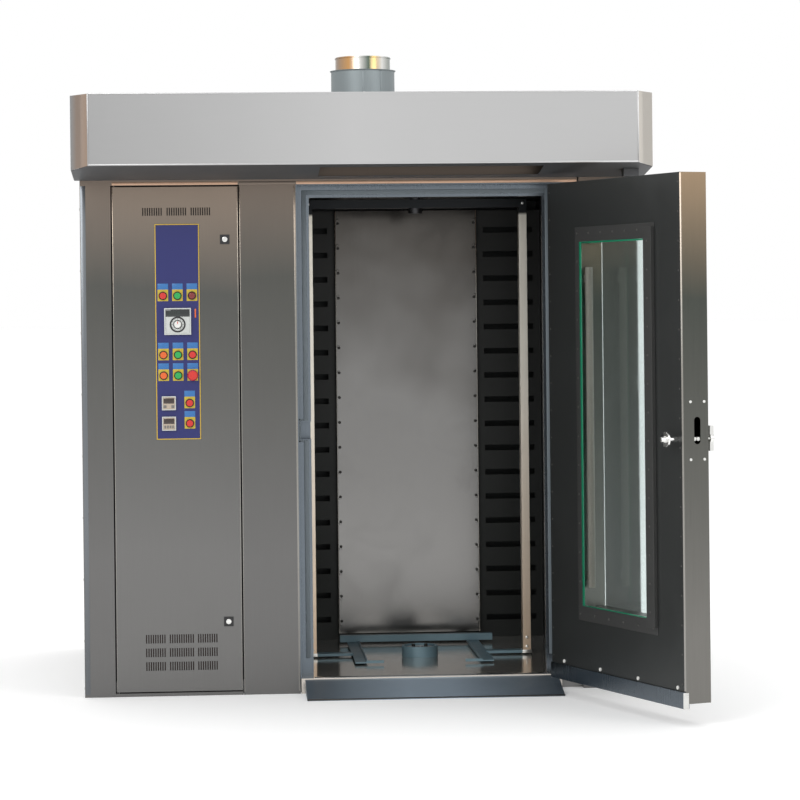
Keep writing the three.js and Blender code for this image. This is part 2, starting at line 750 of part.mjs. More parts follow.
/** The welded heat exchanger: drum, tubes, header and exhaust pipe, hollow from end to end. */
function addHeatExchanger(group) {
  const x = [bayX - exchangerHalfWidth, bayX + exchangerHalfWidth];
  const y = [exchangerFront, exchangerBack];
  const drum = [exchangerBottom, exchangerDrumTop];
  const header = [exchangerTop - exchangerHeader, exchangerTop];
  const within = ([start, end]) => [start + exchangerWall, end - exchangerWall];
  const tubes = [];
  const bores = [];
  for (const across of tubesAcross) {
    for (const deep of tubesDeep) {
      const centre = [x[0] + across * (x[1] - x[0]), y[0] + deep * (y[1] - y[0])];
      const boreSpan = [drum[1] - 2 * exchangerWall, header[0] + 2 * exchangerWall];
      tubes.push(bar('z', centre, exchangerTubeRadius, [drum[1] - past, header[0] + past], coarse));
      bores.push(bar('z', centre, exchangerTubeRadius - exhaustWall, boreSpan, coarse));
    }
  }
  const legs = [];
  for (const legX of [x[0], x[1] - exchangerLeg]) {
    for (const legY of [y[0], y[1] - exchangerLeg]) {
      const height = [baseHeight, exchangerBottom + past];
      legs.push(box([legX, legX + exchangerLeg], [legY, legY + exchangerLeg], height));
    }
  }
  const exhaust = bar('z', [exhaustX, exhaustY], exhaustRadius, [header[1] - past, exhaustTop], medium);
  const exhaustSpan = [header[1] - 2 * exchangerWall, exhaustTop + past];
  const portSpan = [y[0] - past, y[0] + 2 * exchangerWall];
  const cuts = [
    box(within(x), within(y), within(drum)),
    box(within(x), within(y), within(header)),
    bar('z', [exhaustX, exhaustY], exhaustRadius - exhaustWall, exhaustSpan, medium),
    bar('y', [bayX, burnerZ], burnerTubeRadius - exchangerWall, portSpan, medium),
    ...bores,
  ];
  const pieces = [box(x, y, drum), box(x, y, header), exhaust, ...tubes, ...legs];
  add(group, 'heat_exchanger', build(pieces, cuts), darkSteel);
}

function addBurner(group) {
  const bodyY = exchangerFront - burnerStandOff;
  const half = burnerSize.map((size) => size / 2);
  const caseX = [bayX - half[0], bayX + half[0]];
  const caseY = [bodyY - half[1], bodyY + half[1]];
  const caseZ = [burnerZ - half[2], burnerZ + half[2]];
  const pieces = [
    box(caseX, caseY, caseZ),
    bar('y', [bayX, burnerZ], burnerTubeRadius, [caseY[1] - past, exchangerFront], medium),
    bar('x', [bodyY, burnerZ], burnerMotorRadius, [caseX[1] - past, caseX[1] + burnerMotorLength], medium),
  ];
  const intake = box(
    [caseX[0] + burnerWall, caseX[1] - burnerWall],
    [caseY[0] + burnerWall, caseY[1] - burnerWall],
    [caseZ[0] - past, caseZ[1] - burnerWall],
  );
  add(group, 'burner', build(pieces, [intake]), burnerRed);
}

function addFan(group) {
  const motorTop = cabinetHeight + motorHeight;
  const profile = [
    [0, cabinetHeight], [motorFlangeRadius, cabinetHeight], [motorFlangeRadius, cabinetHeight + motorFlange],
    [motorRadius, cabinetHeight + motorFlange], [motorRadius, motorTop - motorChamfer],
    [motorRadius - motorChamfer, motorTop], [0, motorTop],
  ];
  const motor = solid(turned(profile).translate(bayX, fanY, 0));
  const socketSpan = [cabinetHeight - past, cabinetHeight + fanShaftGrip + roofHoleRoom];
  const socket = solid(bar('z', [bayX, fanY], fanShaftRadius + touchGap, socketSpan, coarse));
  add(group, 'fan_motor', geometryOf(motor.subtract(socket)), motorBlue);

  const disc = [fanZ, fanZ + fanSheet];
  const ring = [fanZ + fanHeight - fanSheet, fanZ + fanHeight];
  const wheel = [
    bar('z', [bayX, fanY], fanRadius, disc, fine),
    bar('z', [bayX, fanY], fanHubRadius, [fanZ, fanZ + fanHeight], medium),
    bar('z', [bayX, fanY], fanShaftRadius, [fanZ, cabinetHeight + fanShaftGrip], coarse),
  ];
  for (let blade = 0; blade < fanBladeCount; blade += 1) {
    const reach = [fanEyeRadius, fanRadius - fanSheet];
    const vane = box(reach, [-fanSheet / 2, fanSheet / 2], [disc[0] + past, ring[1] - past]);
    vane.rotateZ((blade * 2 * Math.PI) / fanBladeCount).translate(bayX, fanY, 0);
    wheel.push(vane);
  }
  const shroud = turned([
    [fanEyeRadius, ring[0]], [fanRadius, ring[0]], [fanRadius, ring[1]], [fanEyeRadius, ring[1]],
    [fanEyeRadius, ring[0]],
  ], fine).translate(bayX, fanY, 0);
  add(group, 'circulation_fan', build([...wheel, shroud]), brightSteel);
}

function addRotorDrive(group) {
  const half = gearboxSize.map((size) => size / 2);
  const gearTop = cabinetHeight + gearboxSize[2];
  const motorZ = cabinetHeight + gearMotorRadius + roofHoleRoom;
  const gearBack = rotorY + half[1];
  const gearbox = [
    box([rotorX - half[0], rotorX + half[0]], [rotorY - half[1], gearBack], [cabinetHeight, gearTop]),
    bar('y', [rotorX, motorZ], gearMotorRadius, [gearBack - past, gearBack + gearMotorLength]),
    bar('z', [rotorX, rotorY], gearNeckRadius, [gearTop - past, gearTop + gearNeckHeight]),
  ];
  const socketSpan = [cabinetHeight - past, gearTop - shaftEndRoom + roofHoleRoom];
  const socket = bar('z', [rotorX, rotorY], rotorShaftRadius + touchGap, socketSpan, medium);
  add(group, 'rotor_gearmotor', build(gearbox, [socket]), motorBlue);

  const ring = [chamberTop - bearingHeight, chamberTop];
  const bore = rotorShaftRadius + touchGap;
  const bearing = turned([
    [bore, ring[0]], [bearingNose, ring[0]], [bearingRadius, ring[0] + bearingHeight / 2],
    [bearingRadius, ring[1]], [bore, ring[1]], [bore, ring[0]],
  ]).translate(rotorX, rotorY, 0);
  add(group, 'top_bearing', bearing, castIron);

  const wellFloor = floorTop + hubHeight / 2;
  const wellRadius = hubRadius - hubWall;
  const hub = turned([
    [0, floorTop], [hubRadius, floorTop], [hubRadius, floorTop + hubHeight],
    [wellRadius, floorTop + hubHeight], [wellRadius, wellFloor], [hubStudRadius, wellFloor],
    [hubStudRadius, floorTop + hubStudHeight], [0, floorTop + hubStudHeight],
  ]).translate(rotorX, rotorY, 0);
  add(group, 'floor_hub', hub, blueGrey);
}

// ------------------------------------------------------------------------------------- rotor

function addRotor(group) {
  const reach = rotorPostCentre + rotorPostWidth / 2;
  const postDepth = [-rotorPostDepth / 2, rotorPostDepth / 2];
  const barSpan = [rotorTop - rotorBarHeight, rotorTop];
  const posts = [-1, 1].map((side) => box(
    [side * rotorPostCentre - rotorPostWidth / 2, side * rotorPostCentre + rotorPostWidth / 2],
    postDepth,
    [rotorBottom, rotorTop],
  ));
  const holeSpan = [barSpan[0] - past, barSpan[1] + past];
  const shaftHole = bar('z', [0, 0], rotorShaftRadius + touchGap, holeSpan, medium);
  const arch = build([box([-reach, reach], postDepth, barSpan), ...posts], [shaftHole]);
  add(group, 'rotor_frame', arch.translate(rotorX, rotorY, 0), brightSteel);

  const bossBottom = barSpan[0] - rotorBossDrop;
  const shaftTop = cabinetHeight + gearboxSize[2] - shaftEndRoom;
  const shaft = turned([
    [0, bossBottom], [rotorBossRadius, bossBottom], [rotorBossRadius, barSpan[0]],
    [rotorShaftRadius, barSpan[0]], [rotorShaftRadius, shaftTop], [0, shaftTop],
  ]);
  add(group, 'rotor_shaft', shaft.translate(rotorX, rotorY, 0), castIron);

  const railFoot = rotorBaseTop - railDrop;
  const webSpan = [rotorBottom, railFoot];
  const flangeSpan = [rotorBottom, rotorBottom + railFlange];
  const rear = [rearBarOffset - rearBarDepth, rearBarOffset];
  const railDepth = [-railReach, rear[0] + past];
  const tieDepth = [-railWidth / 2, railWidth / 2];
  const hookDepth = [-railReach, -railReach + railFlange];
  const postInside = rotorPostCentre - rotorPostWidth / 2;
  const base = [box([-rearBarLeft, rearBarRight], rear, [rotorBottom + rearBarLift, rotorBaseTop])];
  for (const side of [-1, 1]) {
    const spanX = (a, b) => [Math.min(side * a, side * b), Math.max(side * a, side * b)];
    base.push(box(spanX(railInner, railInner + railFlange), railDepth, webSpan));
    base.push(box(spanX(railInner, railInner + railWidth), railDepth, flangeSpan));
    base.push(box(spanX(railInner + railWidth - railFlange, postInside), tieDepth, webSpan));
    base.push(box(spanX(railInner + railFlange, railInner - hookLength), hookDepth, webSpan));
  }
  add(group, 'rotor_base', build(base).translate(rotorX, rotorY, 0), blueGrey);
}

// --------------------------------------------------------------------------------- oven door

/** Distances in the door's own frame: X runs from the hinge axis, negative towards the free edge. */
const doorX = [-hingeSide - doorWidth, -hingeSide];
const doorY = [hingeFront, hingeFront + doorThickness];
const windowX = [doorX[1] - windowHingeMargin - windowWidth, doorX[1] - windowHingeMargin];
const windowZ = [windowBottom, windowTop];
const latchX = doorX[0] + latchInset;
const latchY = doorY[1] - latchDepth;

function addOvenDoor(group) {
  const linerFront = doorY[1] - linerSheet;
  const shellBack = linerFront - touchGap;
  const height = [doorBottom, doorTop];
  const hollowHeight = [height[0] + sheet, height[1] - sheet];
  const hollow = box([doorX[0] + sheet, doorX[1] - sheet], [doorY[0] + sheet, doorY[1]], hollowHeight);
  const skin = build([box(doorX, [doorY[0], shellBack], height)], [hollow]);
  const tunnelX = [windowX[0] - windowWall, windowX[1] + windowWall];
  const tunnelZ = [windowZ[0] - windowWall, windowZ[1] + windowWall];
  const tunnel = box(tunnelX, [doorY[0], shellBack], tunnelZ);
  const strapY = doorY[0] - strapThickness;
  const middle = (z) => [z + hingeHeight / 3, z + (2 * hingeHeight) / 3];
  const hinges = hingeZ.flatMap((z) => [
    box([doorX[1] - strapLength, doorX[1]], [strapY, doorY[0] + past], [z, z + hingeHeight]),
    box([doorX[1] - past, 0], [strapY, doorY[0]], middle(z)),
    bar('z', [0, 0], knuckleRadius, middle(z), medium),
  ]);
  const edgeSpan = [doorX[0] - past, doorX[0] + sheet + past];
  const slotRadius = latchSlotWidth / 2;
  const slotEnds = [latchZ - latchSlotBelow + slotRadius, latchZ + latchSlotAbove - slotRadius];
  const spindleHole = [doorY[0] - past, doorY[0] + sheet + past];
  const cuts = [
    box(windowX, [doorY[0] - past, linerFront + past], windowZ),
    box(edgeSpan, [latchY - slotRadius, latchY + slotRadius], slotEnds),
    ...slotEnds.map((z) => bar('x', [latchY, z], slotRadius, edgeSpan, medium)),
    bar('y', [latchX, latchZ], latchShaftRadius + touchGap, spindleHole, medium),
    ...hingeZ.map((z) => bar('z', [0, 0], hingePinRadius + hingeRunning, [z, z + hingeHeight], coarse)),
  ];
  add(group, 'door_shell', build([skin, tunnel, ...hinges], cuts), stainless);

  const liner = box(doorX, [linerFront, doorY[1]], height);
  const linerCut = [linerFront - past, doorY[1] + past];
  const linerCuts = [
    box(windowX, linerCut, windowZ),
    bar('y', [latchX, latchZ], latchShaftRadius + touchGap, linerCut, medium),
  ];
  add(group, 'door_liner', build([liner], linerCuts), darkSteel);

  const paneX = [windowX[0] + touchGap, windowX[1] - touchGap];
  const paneZ = [windowZ[0] + touchGap, windowZ[1] - touchGap];
  const outerPane = [doorY[0] + sheet, doorY[0] + sheet + glassThickness];
  add(group, 'window_outer_glass', box(paneX, outerPane, paneZ), glass);
  const innerPane = [doorY[1] - glassThickness, doorY[1]];
  add(group, 'window_inner_glass', box(paneX, innerPane, paneZ), glass);

  const trimBase = doorY[1] + touchGap;
  const overlap = trimOverlap;
  const trimZ = [windowZ[0] - trimHead, windowZ[1] + trimHead];
  const channelX = [windowX[0] + overlap - channelWidth, windowX[0] + overlap];
  const trim = [
    box([channelX[0], windowX[1] + trimWidth], [trimBase, trimBase + sheet], trimZ),
    box(channelX, [trimBase, trimBase + channelProud], [trimZ[0] + trimWidth, trimZ[1] - trimWidth / 2]),
  ];
  const sight = box(
    [windowX[0] + overlap, windowX[1] - overlap],
    [doorY[1], trimBase + channelProud + past],
    [windowZ[0] + overlap, windowZ[1] - overlap],
  );
  add(group, 'window_trim', build(trim, [sight]), stainless);

  const lampX = windowX[1] - lampInset;
  const lampY = innerPane[0] - lampPaneGap - lampRadius;
  const lampSpan = [windowBottom + lampFootGap, windowTop - lampHeadGap];
  const bracketX = [lampX, windowX[1] - touchGap];
  const bracketY = [lampY - lampRadius / 2, lampY + lampRadius / 2];
  const brackets = [lampSpan[0] + lampBracket, lampSpan[1] - 2 * lampBracket].map(
    (z) => box(bracketX, bracketY, [z, z + lampBracket]),
  );
  const tube = bar('z', [lampX, lampY], lampRadius, lampSpan, coarse);
  add(group, 'door_lamp', build([tube, ...brackets]), palePlastic);

  const sweepY = [doorY[1] + touchGap, doorY[1] + sealGap - touchGap];
  const sweep = [
    box(doorX, sweepY, [sweepBottom, sweepBottom + sweepHeight]),
    box(doorX, [doorY[1] - sweepThickness, sweepY[1]], [sweepBottom, doorBottom - touchGap]),
  ];
  add(group, 'door_sweep', build(sweep), darkSteel);
}

function addDoorHinges(group) {
  const third = hingeHeight / 3;
  ['door_hinge_lower', 'door_hinge_upper'].forEach((name, index) => {
    const bottom = hingeZ[index];
    const top = bottom + hingeHeight;
    const pinSpan = [bottom + hingeRunning, top - hingeRunning];
    const leafX = [pivotX - hingeLeafInset, pivotX + hingeLeafReach];
    const pieces = [
      box(leafX, [front - strapThickness, front], [bottom, top]),
      bar('z', [pivotX, pivotY], hingePinRadius, pinSpan, coarse),
    ];
    for (const span of [[bottom, bottom + third - hingeRunning], [top - third + hingeRunning, top]]) {
      pieces.push(bar('z', [pivotX, pivotY], knuckleRadius, span, medium));
      pieces.push(box([pivotX, pivotX + knuckleRadius], [pivotY, front - past], span));
    }
    add(group, name, build(pieces), polished);
  });
}

function addLatch(group) {
  const armY = [latchY - latchArmThickness / 2, latchY + latchArmThickness / 2];
  const half = latchArmWidth / 2;
  const axis = [latchX, latchZ];
  const handleStart = doorY[0] - handleStandOff;
  const knobEnd = doorY[1] + latchKnobReach;
  const knobStart = knobEnd - latchKnobLength;
  const discEnd = knobStart + latchDiscLength;
  const spindle = [
    bar('y', axis, latchShaftRadius, [handleStart, knobStart], medium),
    bar('y', axis, latchKnobDisc, [knobStart - past, discEnd], medium),
    bar('y', axis, latchTipRadius, [discEnd - past, knobEnd], medium, latchShaftRadius),
    bar('y', axis, latchCollarRadius, armY, medium),
    box([latchX - half, latchX + half], armY, [latchZ, latchZ + latchArmLength]),
  ];
  add(group, 'latch_spindle', build(spindle), polished);

  const handleY = [handleStart, handleStart + handleThickness];
  const boss = bar('y', axis, handleBossRadius, handleY, medium);
  const leverSpan = [latchZ - handleLength / 2, latchZ + handleLength / 2];
  const lever = box([latchX - handleWidth / 2, latchX + handleWidth / 2], handleY, leverSpan);
  const bore = bar('y', axis, latchShaftRadius + touchGap, [handleY[0] - past, handleY[1] + past], medium);
  add(group, 'door_handle', build([boss, lever], [bore]), polished);
}

// ------------------------------------------------------------------------------ service door

function addServiceDoor(group) {
  const through = [front - past, front + sheet + past];
  const slots = [];
  const addSlots = (vent, bottom) => vent.starts.forEach((start, index) => {
    for (let slot = 0; slot < vent.counts[index]; slot += 1) {
      const x = serviceLeft + start + slot * ventSlotPitch;
      slots.push(box([x, x + ventSlotWidth], through, [bottom, bottom + vent.height]));
    }
  });
  addSlots(upperVent, serviceTop - upperVent.drop);
  for (let row = 0; row < lowerVent.rows; row += 1) {
    addSlots(lowerVent, serviceBottom + lowerVent.rise + row * lowerVent.rowPitch);
  }

  const x = [serviceLeft, serviceRight];
  const z = [serviceBottom, serviceTop];
  const pin = [serviceLeft + servicePinInset, front + servicePinBack];
  const pinHole = (edge) => {
    const span = [edge - sheet - past, edge + sheet + past];
    return bar('z', pin, servicePinRadius + touchGap, span, coarse);
  };
  const cuts = [
    ...z.map(pinHole),
    ...lockZ.map((lock) => bar('y', [lockX, lock], lockShaftRadius + touchGap, through, coarse)),
    mergeGeometries(slots),
  ];
  add(group, 'service_door', tray(x, [front, front + serviceDoorDepth], z, cuts), stainless);
}

function addLocks(group) {
  const camY = [front + trayDepth + lockCamGap, front + trayDepth + lockCamGap + lockCamThickness];
  const headY = [front - lockHeadDepth, front];
  const headX = [lockX - lockHead / 2, lockX + lockHead / 2];
  const camX = [lockX - lockCamWidth / 2, lockX + lockCamWidth / 2];
  ['lock_lower', 'lock_upper'].forEach((name, index) => {
    const z = lockZ[index];
    const pieces = [
      box(headX, headY, [z - lockHead / 2, z + lockHead / 2]),
      bar('y', [lockX, z], lockShaftRadius, [front - past, camY[1]], coarse),
      box(camX, camY, [z - lockCamLength, z + lockCamWidth / 2]),
    ];
    add(group, name, build(pieces), darkPlastic);
  });
}

/** A ring on the control plate that a push button slides in. */
function bezel(x, z, face) {
  const bore = capRadius + capRunning;
  const ring = turned([
    [bore, -past], [bezelRadius, -past], [bezelRadius, bezelHeight - bezelChamfer],
    [bezelRadius - bezelChamfer, bezelHeight], [bore, bezelHeight], [bore, -past],
  ], coarse);
  return ring.rotateX(Math.PI / 2).translate(x, face, z);
}

function addControls(group) {
  const face = front - plateThickness;
  const columns = [-buttonPitch, 0, buttonPitch].map((offset) => plateX + offset);
  const buttons = [
    ['button_red_1', columns[0], buttonRowZ[0], capRed],
    ['button_green_1', columns[1], buttonRowZ[0], capGreen],
    ['button_orange_2', columns[0], buttonRowZ[1], capOrange],
    ['button_green_2', columns[1], buttonRowZ[1], capGreen],
    ['button_red_2', columns[2], buttonRowZ[1], capRed],
    ['button_orange_3', columns[0], buttonRowZ[2], capOrange],
    ['button_green_3', columns[1], buttonRowZ[2], capGreen],
    ['button_red_4', lowerButtonX, lowerRowZ[0], capRed],
    ['button_red_5', lowerButtonX, lowerRowZ[1], capRed],
  ];
  const stop = [columns[2], buttonRowZ[2]];
  const bodyX = [plateX - plateWidth / 2, plateX + plateWidth / 2];
  const bodyZ = [Math.min(...lowerRowZ) - plateFootMargin, plateTop];
  const body = box(bodyX, [face, front], bodyZ);
  const square = (x, z, size, depth) => box(
    [x - size / 2, x + size / 2], depth, [z - size / 2, z + size / 2],
  );
  const smallDepth = [face - smallControllerDepth, face + past];
  const smallControllers = lowerRowZ.map((z) => square(smallControllerX, z, smallControllerSize, smallDepth));
  const pilot = bar('y', [columns[2], buttonRowZ[0]], capRadius, [face - bezelHeight, face + past], medium);
  const rings = [...buttons.map(([, x, z]) => bezel(x, z, face)), bezel(stop[0], stop[1], face)];
  add(group, 'control_plate', build([body, ...smallControllers, pilot, ...rings]), controlBlue);

  const rest = face - buttonTravel - buttonRoom;
  for (const [name, x, z, finish] of buttons) {
    add(group, name, bar('y', [x, z], capRadius, [rest - capLength, rest], coarse), finish);
  }
  const head = rest - bezelHeight;
  const mushroom = [
    bar('y', stop, capRadius, [head - past, rest], medium),
    bar('y', stop, mushroomFaceRadius, [head - mushroomHeight, head], medium, mushroomRadius),
  ];
  add(group, 'emergency_stop', build(mushroom), capRed);

  const controllerFace = face - controllerDepth;
  const controller = square(plateX, controllerZ, controllerSize, [controllerFace, face]);
  add(group, 'temperature_controller', controller, palePlastic);
  const dialSpan = [controllerFace - touchGap - dialLength, controllerFace - touchGap];
  const dial = bar('y', [plateX, dialZ], dialFaceRadius, dialSpan, medium, dialRadius);
  add(group, 'temperature_dial', dial, palePlastic);
}

// ---------------------------------------------------------------------------------- assembly

addCabinet(oven);
addFrontPanels(oven);
addChamber(oven);
addAirDuct(oven);
addRamp(oven);
addHood(oven);
addInsulation(oven);
addHeatExchanger(oven);
addBurner(oven);
addFan(oven);
addRotorDrive(oven);
addRotor(oven);
addDoorHinges(oven);
addServiceDoor(oven);
addLocks(oven);
addControls(oven);

const door = new THREE.Group();
addOvenDoor(door);
addLatch(door);
door.position.set(pivotX, pivotY, 0);
door.rotation.z = THREE.MathUtils.degToRad(doorOpenAngle);
oven.add(door);

export default oven;
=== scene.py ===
"""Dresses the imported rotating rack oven: finishes for its panels, and the small pieces that sit on them."""

import json
import math
import bmesh
import bpy
from mathutils import Matrix, Vector


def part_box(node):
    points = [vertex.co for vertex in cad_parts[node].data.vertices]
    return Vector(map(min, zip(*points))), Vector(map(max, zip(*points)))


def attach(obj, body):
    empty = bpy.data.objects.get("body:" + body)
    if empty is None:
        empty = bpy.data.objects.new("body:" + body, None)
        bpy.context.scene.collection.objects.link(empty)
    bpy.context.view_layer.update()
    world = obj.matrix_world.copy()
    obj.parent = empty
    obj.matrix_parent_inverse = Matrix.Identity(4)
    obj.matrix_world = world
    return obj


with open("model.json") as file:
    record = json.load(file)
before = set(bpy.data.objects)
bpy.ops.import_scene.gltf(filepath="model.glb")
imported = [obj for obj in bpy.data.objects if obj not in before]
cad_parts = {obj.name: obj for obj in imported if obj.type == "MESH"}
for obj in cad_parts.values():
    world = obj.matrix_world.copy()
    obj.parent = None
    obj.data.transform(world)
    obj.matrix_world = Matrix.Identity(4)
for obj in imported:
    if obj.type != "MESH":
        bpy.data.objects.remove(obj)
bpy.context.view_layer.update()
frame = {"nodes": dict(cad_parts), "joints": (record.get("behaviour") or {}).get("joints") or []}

bl_info = {
    "name": "Rotating rack oven",
    "version": (1, 0, 0),
    "blender": (4, 5, 0),
    "location": "3D View > Sidebar > Oven",
    "description": "Finishes and small pieces for a rotating rack oven on its packed frame",
    "category": "Object",
}

NODES = frame["nodes"]

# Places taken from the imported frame, in metres
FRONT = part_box("service_door")[0].y
PLATE_LOW, PLATE_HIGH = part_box("control_plate")
PLATE_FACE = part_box("temperature_controller")[1].y
HINGE = next(joint for joint in frame["joints"] if joint["name"] == "oven_door_swing")["pos_m"]
DOOR_OPEN = math.radians(111)
DOOR_PLACE = Matrix.Translation((HINGE[0], HINGE[1], 0)) @ Matrix.Rotation(DOOR_OPEN, 4, "Z")

# The oven door in its own frame: X is 0 at the hinge axis and negative towards the free edge, Y grows inwards
FREE_EDGE, HINGE_EDGE = -0.971, -0.045
DOOR_INSIDE = 0.113
DOOR_TOP = 1.822
LATCH_Z = 0.944
KNOB_POCKET = 0.035
TRIM_OVERLAP = 0.005

# The chamber's mouth, and the cabinet's seams and screw rows
MOUTH_LEFT, MOUTH_RIGHT, MOUTH_TOP = -0.185, 0.665, 1.788
DOOR_RECESS = -0.670
SEAM_FOOT, SEAM_HEAD = 0.02, 1.93
SEAM_HALF, SEAM_PROUD = 0.012, 0.0012
SCREW_ROWS = (0.03, 1.92)

SHARP_DEGREES = 35
TO_FRONT, TO_BACK, UPWARDS = (0, -1, 0), (0, 1, 0), (0, 0, 1)

# The body that a small piece rides on and its record slot
SHELL_STEEL = ("cabinet", "stainless")
SHELL_BRIGHT = ("cabinet", "bright_steel")
PLATE_BLUE = ("service_door", "control_blue")
PLATE_DARK = ("service_door", "dark_plastic")
PLATE_PALE = ("service_door", "pale_plastic")
DOOR_BRIGHT = ("oven_door", "bright_steel")
DOOR_PALE = ("oven_door", "pale_plastic")
ROTOR_BRIGHT = ("rotor", "bright_steel")

MATERIALS = {}
GROUPS = {}


def door_box(name):
    """A door node's lowest and highest corners in the oven door's own frame."""
    back = DOOR_PLACE.inverted()
    spots = [back @ vertex.co for vertex in NODES[name].data.vertices]
    return [Vector([pick_end(spot[axis] for spot in spots) for axis in range(3)]) for pick_end in (min, max)]


PANE_LOW, PANE_HIGH = door_box("window_inner_glass")
TRIM_LOW, TRIM_HIGH = door_box("window_trim")


# ------------------------------------------------------------------------------------ settings


def length_setting(name, description, default):
    return bpy.props.FloatProperty(name=name, description=description, default=default, unit="LENGTH")


def colour_setting(name, description, default):
    return bpy.props.FloatVectorProperty(
        name=name, description=description, default=default, subtype="COLOR", min=0, max=1
    )


class OvenSizes(bpy.types.PropertyGroup):
    """Sizes of the small pieces."""

    screw_radius: length_setting("Screw head radius", "Radius of the panel screws' heads", 0.0048)
    screw_height: length_setting("Screw head height", "Height of the panel screws' heads", 0.0024)
    legend_width: length_setting("Legend width", "Width of the bare plate behind a button", 0.038)
    legend_above: length_setting("Legend above", "Height of the legend plate above its button", 0.044)
    legend_below: length_setting("Legend below", "Height of the legend plate below its button", 0.019)
    edge_radius: length_setting("Folded edge radius", "Radius on the folded edges of the panels", 0.0006)
    seal_width: length_setting("Seal width", "Width of the silicone seal round the mouth", 0.017)


class OvenColours(bpy.types.PropertyGroup):
    """Colours of the finishes, as they look under plain light."""

    # The three panel colours are painted reflections on the front panels: warm high, dark above the middle, grey
    # low.
    panel_high: colour_setting("Panel, high", "Colour of the front panels near the hood", (0.30, 0.235, 0.185))
    panel_low: colour_setting("Panel, low", "Colour of the front panels near the floor", (0.178, 0.176, 0.172))
    panel_middle: colour_setting(
        "Panel, middle", "Colour of the front panels above their middle", (0.104, 0.105, 0.098)
    )
    hood: colour_setting("Hood", "Colour of the hood's sheet", (0.53, 0.53, 0.53))
    door_inside: colour_setting("Door inside", "Colour of the inner face of the oven door", (0.050, 0.053, 0.052))
    paint: colour_setting("Blue-grey paint", "Colour of the entry ramp", (0.125, 0.155, 0.185))
    control_plate: colour_setting("Control plate", "Colour of the control plate", (0.012, 0.016, 0.125))
    floor: colour_setting("Studio floor", "Colour of the floor that the oven stands on", (0.93, 0.93, 0.93))


# ------------------------------------------------------------------------------------- shaping


def deselect():
    """Leaves edit mode and selects nothing."""
    if bpy.context.object and bpy.context.object.mode != "OBJECT":
        leave_edit()
    bpy.ops.object.select_all(action="DESELECT")


def leave_edit():
    bpy.ops.object.mode_set(mode="OBJECT")


def pick(piece):
    """Selects one piece and makes it active."""
    deselect()
    piece.select_set(True)
    bpy.context.view_layer.objects.active = piece


def named(name):
    """The primitive that was just added, with its name."""
    piece = bpy.context.object
    piece.name = piece.data.name = name
    return piece


def settle(piece):
    """Moves a piece's place, turn and scale into its mesh."""
    pick(piece)
    bpy.ops.object.transform_apply(location=True, rotation=True, scale=True)


def smooth(piece, degrees=SHARP_DEGREES):
    """Shades a piece smooth, with its folds left sharp."""
    pick(piece)
    bpy.ops.object.shade_smooth_by_angle(angle=math.radians(degrees))


def add_bevel(piece, name, width, segments=2):
    """Rounds a piece's sharp edges with a live modifier."""
    bevel = piece.modifiers.new(name, "BEVEL")
    bevel.width = width
    bevel.segments = segments
    bevel.limit_method = "ANGLE"
    bevel.angle_limit = math.radians(SHARP_DEGREES)
    return bevel


def soften(piece, width, segments=2):
    """Rounds a piece's sharp edges for good."""
    pick(piece)
    bpy.ops.object.modifier_apply(modifier=add_bevel(piece, "rounded_edges", width, segments).name)
    smooth(piece)


def select_faces(piece, wanted):
    """Opens a piece in edit mode with only the wanted faces selected."""
    pick(piece)
    bpy.ops.object.mode_set(mode="EDIT")
    bpy.ops.mesh.select_mode(type="FACE")
    bpy.ops.mesh.select_all(action="DESELECT")
    mesh = bmesh.from_edit_mesh(piece.data)
    for face in mesh.faces:
        face.select = wanted(face)
    mesh.select_flush(True)
    bmesh.update_edit_mesh(piece.data)


def block(name, low, high, edge=0.0008, segments=2):
    """A folded sheet or bar between two corners, with rounded edges."""
    deselect()
    bpy.ops.mesh.primitive_cube_add(size=1, location=[(a + b) / 2 for a, b in zip(low, high)])
    piece = named(name)
    piece.scale = [b - a for a, b in zip(low, high)]
    settle(piece)
    if edge:
        soften(piece, edge, segments)
    return piece


def rod(name, axis, centre, radius, span, edge, vertices=32, segments=2):
    """A round bar along X or Y. The centre gives the other two coordinates."""
    middle = (span[0] + span[1]) / 2
    quarter = math.radians(90)
    if axis == "x":
        place, turn = (middle, *centre), (0, quarter, 0)
    else:
        place, turn = (centre[0], middle, centre[1]), (quarter, 0, 0)
    deselect()
    bpy.ops.mesh.primitive_cylinder_add(
        vertices=vertices, radius=radius, depth=span[1] - span[0], location=place, rotation=turn
    )
    piece = named(name)
    settle(piece)
    soften(piece, edge, segments)
    return piece


def raise_outline(piece, width, rise):
    """Cuts the middle out of a flat face, leaving a border, and gives the border a thickness."""
    select_faces(piece, lambda face: True)
    bpy.ops.mesh.inset(thickness=width, depth=0)
    bpy.ops.mesh.delete(type="ONLY_FACE")
    bpy.ops.mesh.select_all(action="SELECT")
    bpy.ops.mesh.extrude_region_move(TRANSFORM_OT_translate={"value": rise})
    bpy.ops.mesh.select_all(action="SELECT")
    bpy.ops.mesh.normals_make_consistent(inside=False)
    leave_edit()


def ring(outer, bore, height, edge, vertices=32):
    """A flat ring round Z, standing on z = 0."""
    deselect()
    bpy.ops.mesh.primitive_circle_add(vertices=vertices, radius=outer, fill_type="NGON")
    piece = named("ring")
    raise_outline(piece, outer - bore, (0, 0, height))
    smooth(piece)
    soften(piece, edge)
    return piece


def frame_strip(name, low, high, width, edge):
    """A flat four-sided frame in the X and Z plane, as thick as the corners say."""
    deselect()
    middle = ((low[0] + high[0]) / 2, low[1], (low[2] + high[2]) / 2)
    bpy.ops.mesh.primitive_plane_add(size=1, location=middle, rotation=(math.radians(90), 0, 0))
    piece = named(name)
    piece.scale = (high[0] - low[0], high[2] - low[2], 1)
    settle(piece)
    raise_outline(piece, width, (0, high[1] - low[1], 0))
    if edge:
        soften(piece, edge)
    return piece


